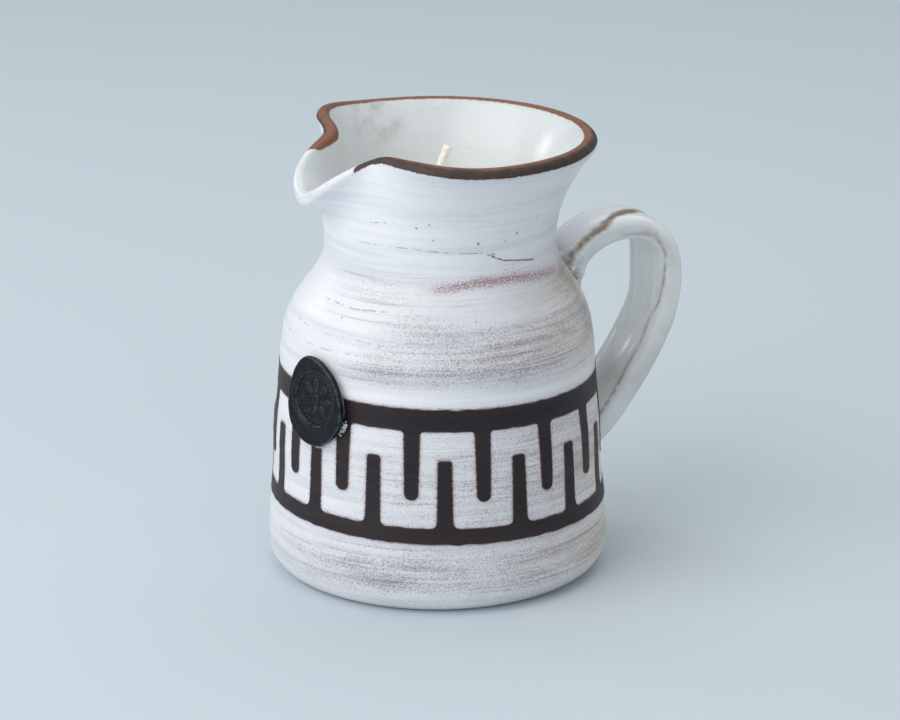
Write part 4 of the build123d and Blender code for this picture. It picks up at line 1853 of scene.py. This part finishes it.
    def inner_colour(self, graph: Graph, at: SimpleNamespace) -> Signal:
        """Colour of the inner glaze: greenish white with a brown-grey smudge high at the back.

        Args:
            graph: the tree that the nodes go into.
            at: the place on the jug.

        Returns:
            The colour.
        """
        smoke = graph.fade(graph.noise(at.place, 0.09, 4.0, 0.65), 0.42, 0.62)
        near = graph.fade(at.angle, 56.0, 84.0) * graph.fade(at.angle, 110.0, 94.0)
        near = near * graph.fade(at.height, 121.0, 128.0)
        colour = graph.mix(smoke * (near * 0.55 + 0.06), self.inside, self.olive)
        rings = graph.call(self.effects.streaks, place=at.place).fine
        colour = graph.mix(graph.fade(rings, 0.55, 0.7) * 0.12, colour, self.olive)
        dots = graph.call(self.effects.specks, place=at.place, cover=0.1, grain=0.9).mask
        return graph.mix(dots * 0.3, colour, self.olive)

    def lip_colour(self, graph: Graph, at: SimpleNamespace, over: Signal) -> Signal:
        """Brown of the bare lip: orange on top, darker outwards, and more so at the front.

        Args:
            graph: the tree that the nodes go into.
            at: the place on the jug.
            over: distances over the lip, in mm, negative inside the jug.

        Returns:
            The colour.
        """
        streak = graph.fade(graph.noise(at.place, 0.3, 4.0, 0.65), 0.35, 0.7)
        back = graph.fade(at.angle, -10.0, 10.0) * graph.fade(at.angle, 178.0, 120.0)
        outer = over + streak * 0.5 - back * 2.3
        share = graph.fade(outer, -0.9, 0.4) * 0.85 + streak * 0.2
        colour = graph.mix(share, self.bare, self.bare_dark)
        grain = graph.fade(graph.noise(at.place, 1.4, 2.0, 0.7), 0.55, 0.7)
        return graph.mix(grain * 0.4, colour, self.bare_dark)

    def body_material(self) -> bpy.types.Material:
        """Material of the shell: outer glaze, inner glaze and the bare lip.

        Returns:
            The material.
        """
        coating = Coating(self.effects, "white_glaze_on_dark_clay", Coat_Roughness=0.08, IOR=1.5)
        graph, at = coating.graph, coating.at
        over = graph.mark("lip_mm")
        inside = graph.fade(over, -0.2, -1.4)
        colour = graph.mix(inside, self.wall_colour(graph, at), self.inner_colour(graph, at))
        edge = graph.mark("bare_mm") + (graph.noise(at.place, 0.7, 4.0, 0.7) - 0.5) * 0.9
        bare = graph.fade(edge, -0.12, 0.16)
        colour = graph.mix(graph.fade(edge, -0.9, 0.0) * 0.35, colour, self.veil)
        colour = graph.mix(bare, colour, self.lip_colour(graph, at, over))
        rough = graph.noise(at.place, 0.12) * 0.12 + 0.30 - inside * 0.08 + bare * 0.2
        return coating.dressed(colour, rough, 0.35, 0.5, self.wall_relief, 1.0 - inside * 0.8)

    def handle_material(self) -> bpy.types.Material:
        """Material of the strap: greyer, glossier glaze, broken to brown along its edges; the
        crown's top face is painted whiter as painted light, and the inner face lighter and greener
        as painted light and reflection.

        Returns:
            The material.
        """
        coating = Coating(self.effects, "white_glaze_on_strap", IOR=1.52)
        graph, place = coating.graph, coating.at.place
        outward, along = graph.mark("outward"), graph.mark("along_mm")
        clouds = graph.noise(place, 0.06, 3.0, 0.6)
        patchy = graph.noise(place, 0.35, 4.0, 0.7)
        colour = graph.mix(graph.fade(clouds, 0.35, 0.7), self.strap, self.strap_grey)
        # Painted light: the crown's upward outer face is painted whiter, where light from above
        # falls on it.
        top = graph.fade(outward, 0.0, 0.8) * graph.fade(along, 75.0, 30.0)
        flow = graph.fade(graph.noise(place, (0.16, 0.9, 0.16), 3.0, 0.6), 0.45, 0.7)
        speck = graph.call(self.effects.specks, place=place, grain=1.4, cover=0.45).mask
        line = graph.mark("line") * graph.fade(patchy, 0.3, 0.55)
        run = graph.mark("streak")
        streak = graph.fade(run + patchy, 0.6, 1.45) * graph.fade(run, 0.02, 0.25)
        root = graph.fade(along, 14.0, 4.0) + graph.fade(along, 119.0, 127.0)
        root = root * graph.fade(patchy, 0.33, 0.55) * graph.fade(outward, -0.6, 0.3)
        crease = graph.fade(along, 7.0, 3.0) * graph.fade(patchy, 0.36, 0.56)
        crease = crease * graph.fade(graph.mark("across"), -0.2, -0.8)
        layers = (
            # painted light on the crown's top face
            (top, self.strap_white),
            # Painted light and reflection: the inner face, turned to the jug, is painted lighter and
            # greener.
            (graph.fade(outward, -0.3, -0.9) * 0.7, self.strap_green),
            (flow * (1.0 - top) * 0.25, self.beige),
            (speck * 0.14, self.speck_violet),
            (line * 0.85, self.strap_line),
            (streak * 0.95, self.strap_brown),
            (root * 0.7, self.speck_violet),
            (crease * 0.75, self.strap_brown),
        )
        for share, tint in layers:
            colour = graph.mix(share, colour, tint)
        colour = self.with_spots(graph, place, colour)
        return coating.dressed(colour, clouds * 0.14 + 0.10, 0.5, 0.0, self.strap_relief)


@dataclass(frozen=True)
class SlipFinish:
    """Dark iron slip: satin, drawn out round the jug, with a rusty thin edge."""

    effects: Effects
    dark: tuple = (0.014, 0.0105, 0.0135, 1)
    brown: tuple = (0.025, 0.0175, 0.0185, 1)
    rust: tuple = (0.15, 0.07, 0.05, 1)
    pale: tuple = (0.22, 0.19, 0.19, 1)
    relief_depth: float = 0.1

    def material(self) -> bpy.types.Material:
        """Makes the slip's material.

        Returns:
            The material.
        """
        coating = Coating(self.effects, "dark_iron_slip", Specular_IOR_Level=0.28)
        graph, place = coating.graph, coating.at.place
        streaks = graph.call(self.effects.streaks, place=place)
        colour = graph.mix(graph.fade(streaks.broad, 0.35, 0.7), self.dark, self.brown)
        colour = graph.mix(graph.fade(streaks.fine, 0.5, 0.72) * 0.5, colour, self.brown)
        edge = graph.mark("edge_mm") + (graph.noise(place, 1.8, 2.0, 0.7) - 0.5) * 0.8
        colour = graph.mix(graph.fade(edge, 0.35, 0.0) * 0.75, colour, self.rust)
        speck = graph.call(self.effects.specks, place=place, cover=0.12, grain=1.3).mask
        colour = graph.mix(speck * 0.3, colour, self.pale)
        rough = graph.noise(place, 0.3) * 0.16 + 0.42
        return coating.dressed(colour, rough, 0.5, 0.8, self.relief_depth)


@dataclass(frozen=True)
class SealFinish:
    """Near-black sealing wax with a blue cast, dusty, with painted highlights that make the relief's
    slopes paler.
    """

    effects: Effects
    dark: tuple = (0.0045, 0.007, 0.010, 1)
    worn: tuple = (0.013, 0.018, 0.024, 1)
    ridge: tuple = (0.075, 0.09, 0.105, 1)
    relief_depth: float = 0.1

    def material(self) -> bpy.types.Material:
        """Makes the sealing wax's material.

        Returns:
            The material.
        """
        coating = Coating(self.effects, "black_sealing_wax", Specular_IOR_Level=0.18)
        graph, place = coating.graph, coating.at.place
        cloud = graph.noise(place, 0.4, 4.0, 0.6)
        dust = graph.fade(graph.noise(place, 2.6, 2.0, 0.7), 0.60, 0.72)
        share = graph.fade(cloud, 0.4, 0.75) * 0.5 + dust * 0.35
        # Painted highlight: the relief's steep slopes are painted paler, where light would glint off
        # them.
        ridge = graph.fade(graph.mark("steep"), 0.35, 1.1) * graph.fade(cloud, 0.3, 0.6)
        colour = graph.mix(ridge * 0.7, graph.mix(share, self.dark, self.worn), self.ridge)
        return coating.dressed(colour, cloud * 0.20 + 0.17, 0.8, 0.0, self.relief_depth)


@dataclass(frozen=True)
class MottledFinish:
    """A plain stuff of two mingled colours with fine relief.

    Its roughness runs between two ends, its grain is in waves per mm and its relief in mm;
    uniform holds values for the shader's own sockets.
    """

    name: str
    common: tuple
    rare: tuple
    grain: float
    rough: tuple
    depth: float
    uniform: tuple = ()

    def material(self, effects: Effects) -> bpy.types.Material:
        """Makes the material.

        Args:
            effects: the shared node groups.

        Returns:
            The material.
        """
        coating = Coating(effects, self.name, **dict(self.uniform))
        cloud = coating.graph.noise(coating.at.place, self.grain, 3.0, 0.6)
        colour = coating.graph.mix(coating.graph.fade(cloud, 0.35, 0.7), self.common, self.rare)
        least, most = self.rough
        return coating.dressed(colour, cloud * (most - least) + least, 0.7, 0.0, self.depth)


WAX = MottledFinish(
    "cream_candle_wax", (0.83, 0.79, 0.69, 1), (0.74, 0.68, 0.56, 1), 0.08, (0.3, 0.45), 0.05,
    (("Subsurface_Weight", 0.25), ("Subsurface_Scale", 0.004)))
YARN = MottledFinish(
    "waxed_cotton", (0.97, 0.95, 0.88, 1), (0.82, 0.77, 0.64, 1), 0.9, (0.5, 0.8), 0.2)
GLUE = MottledFinish(
    "set_glue", (0.80, 0.84, 0.85, 1), (0.52, 0.57, 0.59, 1), 0.7, (0.08, 0.25), 0.15,
    (("Transmission_Weight", 0.35), ("IOR", 1.47)))
TIN = MottledFinish(
    "tinned_sheet", (0.62, 0.62, 0.63, 1), (0.42, 0.42, 0.43, 1), 0.5, (0.25, 0.45), 0.03,
    (("Metallic", 1.0),))
FOAM = MottledFinish(
    "foam_adhesive", (0.85, 0.84, 0.80, 1), (0.70, 0.69, 0.64, 1), 0.8, (0.7, 0.9), 0.1)


# Stage


@dataclass(frozen=True)
class Lamp:
    """A round soft lamp: its place and width in metres, its power in watts and its tint."""

    name: str
    place: tuple
    size: float
    power: float
    colour: tuple = (1.0, 1.0, 1.0)

    def build(self, aim: tuple) -> None:
        """Puts the lamp into the scene, turned towards a point.

        Args:
            aim: the point, in metres.
        """
        data = bpy.data.lights.new(self.name, "AREA")
        data.shape = "DISK"
        data.size = self.size
        data.energy = self.power
        data.color = self.colour
        put_up(self.name, data, Vector(self.place), Vector(aim) - Vector(self.place))


def put_up(name: str, data: bpy.types.ID, place: Vector, look: Vector) -> Piece:
    """Puts a lamp or a camera at a place, looking along a direction.

    Args:
        name: its name.
        data: the lamp's or camera's data.
        place: its place, in metres.
        look: the direction.

    Returns:
        The lamp or camera.
    """
    item = bpy.data.objects.new(name, data)
    item.location = place
    item.rotation_euler = look.to_track_quat("-Z", "Y").to_euler()
    bpy.context.scene.collection.objects.link(item)
    return item


@dataclass
class Stage:
    """Pale floor, soft studio lights and the camera at the photograph's angle."""

    floor_size: float = 8.0
    floor_colour: tuple = (0.58, 0.65, 0.70, 1)
    floor_shade: float = 0.97
    sky_colour: tuple = (0.86, 0.93, 1.0, 1)
    sky_strength: float = 0.40
    lamps: tuple = (
        Lamp("key", (-1.30, -0.35, 0.90), 2.0, 21.3, (1.0, 0.985, 0.97)),
        Lamp("fill", (0.15, -1.42, 0.60), 1.6, 3.6, (1.0, 0.98, 0.95)),
        Lamp("top", (0.25, 0.30, 1.40), 1.6, 8.0, (1.0, 0.99, 0.975)),
        Lamp("window", (-0.70, 0.98, 0.55), 0.20, 1.1),
    )
    lamp_aim: tuple = (0, 0, 0.07)
    camera_turn: float = -23.0
    camera_rise: float = 17.93
    camera_far: float = 1.069
    camera_aim: float = 0.0635
    camera_side: float = 0.00393
    focal_pixels: float = 3500.0
    frame_pixels: float = 900.0
    sensor: float = 36.0

    def build_floor(self) -> None:
        """A plain pale floor with the faintest clouds."""
        half = self.floor_size / 2
        corners = np.array([[-half, -half, 0], [half, -half, 0], [half, half, 0], [-half, half, 0]])
        floor = make_object("floor", corners / MM, np.array([[0, 1, 2, 3]]))
        material, graph, shader = start_material("pale_floor", Roughness=0.9)
        shade = tuple(channel * self.floor_shade for channel in self.floor_colour[:3]) + (1,)
        cloud = graph.noise(graph.object_place(), 2.0, 2.0)
        graph.put(shader.inputs["Base Color"], graph.mix(cloud, self.floor_colour, shade))
        floor.data.materials.append(material)

    def build_lights(self) -> None:
        """A large key at the left, a fill in front, a top lamp, a small window and a pale sky.

        The camera sees the floor's colour where the floor ends.
        """
        for lamp in self.lamps:
            lamp.build(self.lamp_aim)
        world = bpy.data.worlds.new("studio")
        bpy.context.scene.world = world
        world.use_nodes = True
        graph = Graph(world.node_tree)
        skies = ((self.sky_colour, self.sky_strength), (self.floor_colour, 1.0))
        lit, seen = (graph.fed("Background", 0, {"Color": colour, "Strength": strength})
                     for colour, strength in skies)
        ray = graph.fed("LightPath", "Is Camera Ray", {})
        both = graph.fed("MixShader", 0, {0: ray, 1: lit, 2: seen})
        graph.put(graph.node("OutputWorld").inputs["Surface"], both)

    def build_camera(self) -> None:
        """Camera placed and aimed as the photograph was taken."""
        turn = math.radians(self.camera_turn)
        rise = math.radians(self.camera_rise)
        back = Vector((math.sin(turn), -math.cos(turn), 0))
        right = Vector((math.cos(turn), math.sin(turn), 0))
        place = back * (self.camera_far * math.cos(rise)) + right * self.camera_side
        place.z = self.camera_aim + self.camera_far * math.sin(rise)
        look = back * -math.cos(rise)
        look.z = -math.sin(rise)
        data = bpy.data.cameras.new("camera")
        data.sensor_width = self.sensor
        data.lens = self.focal_pixels / self.frame_pixels * self.sensor
        bpy.context.scene.camera = put_up("camera", data, place, look)


def main() -> None:
    """Builds the camera, the pieces, their finishes and the stage, in that order."""
    logging.basicConfig(level=logging.INFO, format="%(message)s")
    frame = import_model()
    bpy.context.scene.view_settings.view_transform = "Standard"
    stage = Stage()
    stage.build_camera()
    form = JugForm()
    effects = Effects()
    glaze = GlazeFinish(effects)
    slip = SlipFinish(effects).material()
    upper = SlipComb(form, "meander_upper", Hang.DOWN, 57.0, 63.7, 35.9, 2.0, 1.1, -130.1,
                     (-0.7, -1.7, -1.0, -0.3, 1.2, 1.3))
    lower = SlipComb(form, "meander_lower", Hang.UP, 22.8, 27.6, 48.6, 0.9, 1.9, -118.1,
                     (-1.1, -2.1, 0.3, 1.1, 1.1, 0.4))
    body, seal, candle = JugBody(form, WallMap((upper, lower))), Seal(form), Candle(form)
    pieces = (
        (body.build, Slot.GLAZE, glaze.body_material(), "jug_body"),
        (Handle(form).build, Slot.GLAZE, glaze.handle_material(), "handle"),
        (upper.build, Slot.SLIP, slip, "slip_comb_upper"),
        (lower.build, Slot.SLIP, slip, "slip_comb_lower"),
        (seal.build, Slot.SEAL, SealFinish(effects).material(), "seal"),
        (seal.build_glue, Slot.GLUE, GLUE.material(effects), "seal_glue"),
        (candle.build_wax, Slot.CANDLE, WAX.material(effects), "candle_wax"),
        (candle.build_wick, Slot.COTTON, YARN.material(effects), "wick"),
    )
    for build, slot, material, node in pieces:
        finish_piece(build(), slot, material, node)
    for name, finish in (("wick_clip", TIN), ("clip_sticker", FOAM)):
        node = frame["nodes"][name]
        node.data.materials.clear()
        node.data.materials.append(finish.material(effects))
        log.info("%s: kept from the model, with its own material", name)
    stage.build_floor()
    stage.build_lights()


if __name__ == "__main__":
    main()
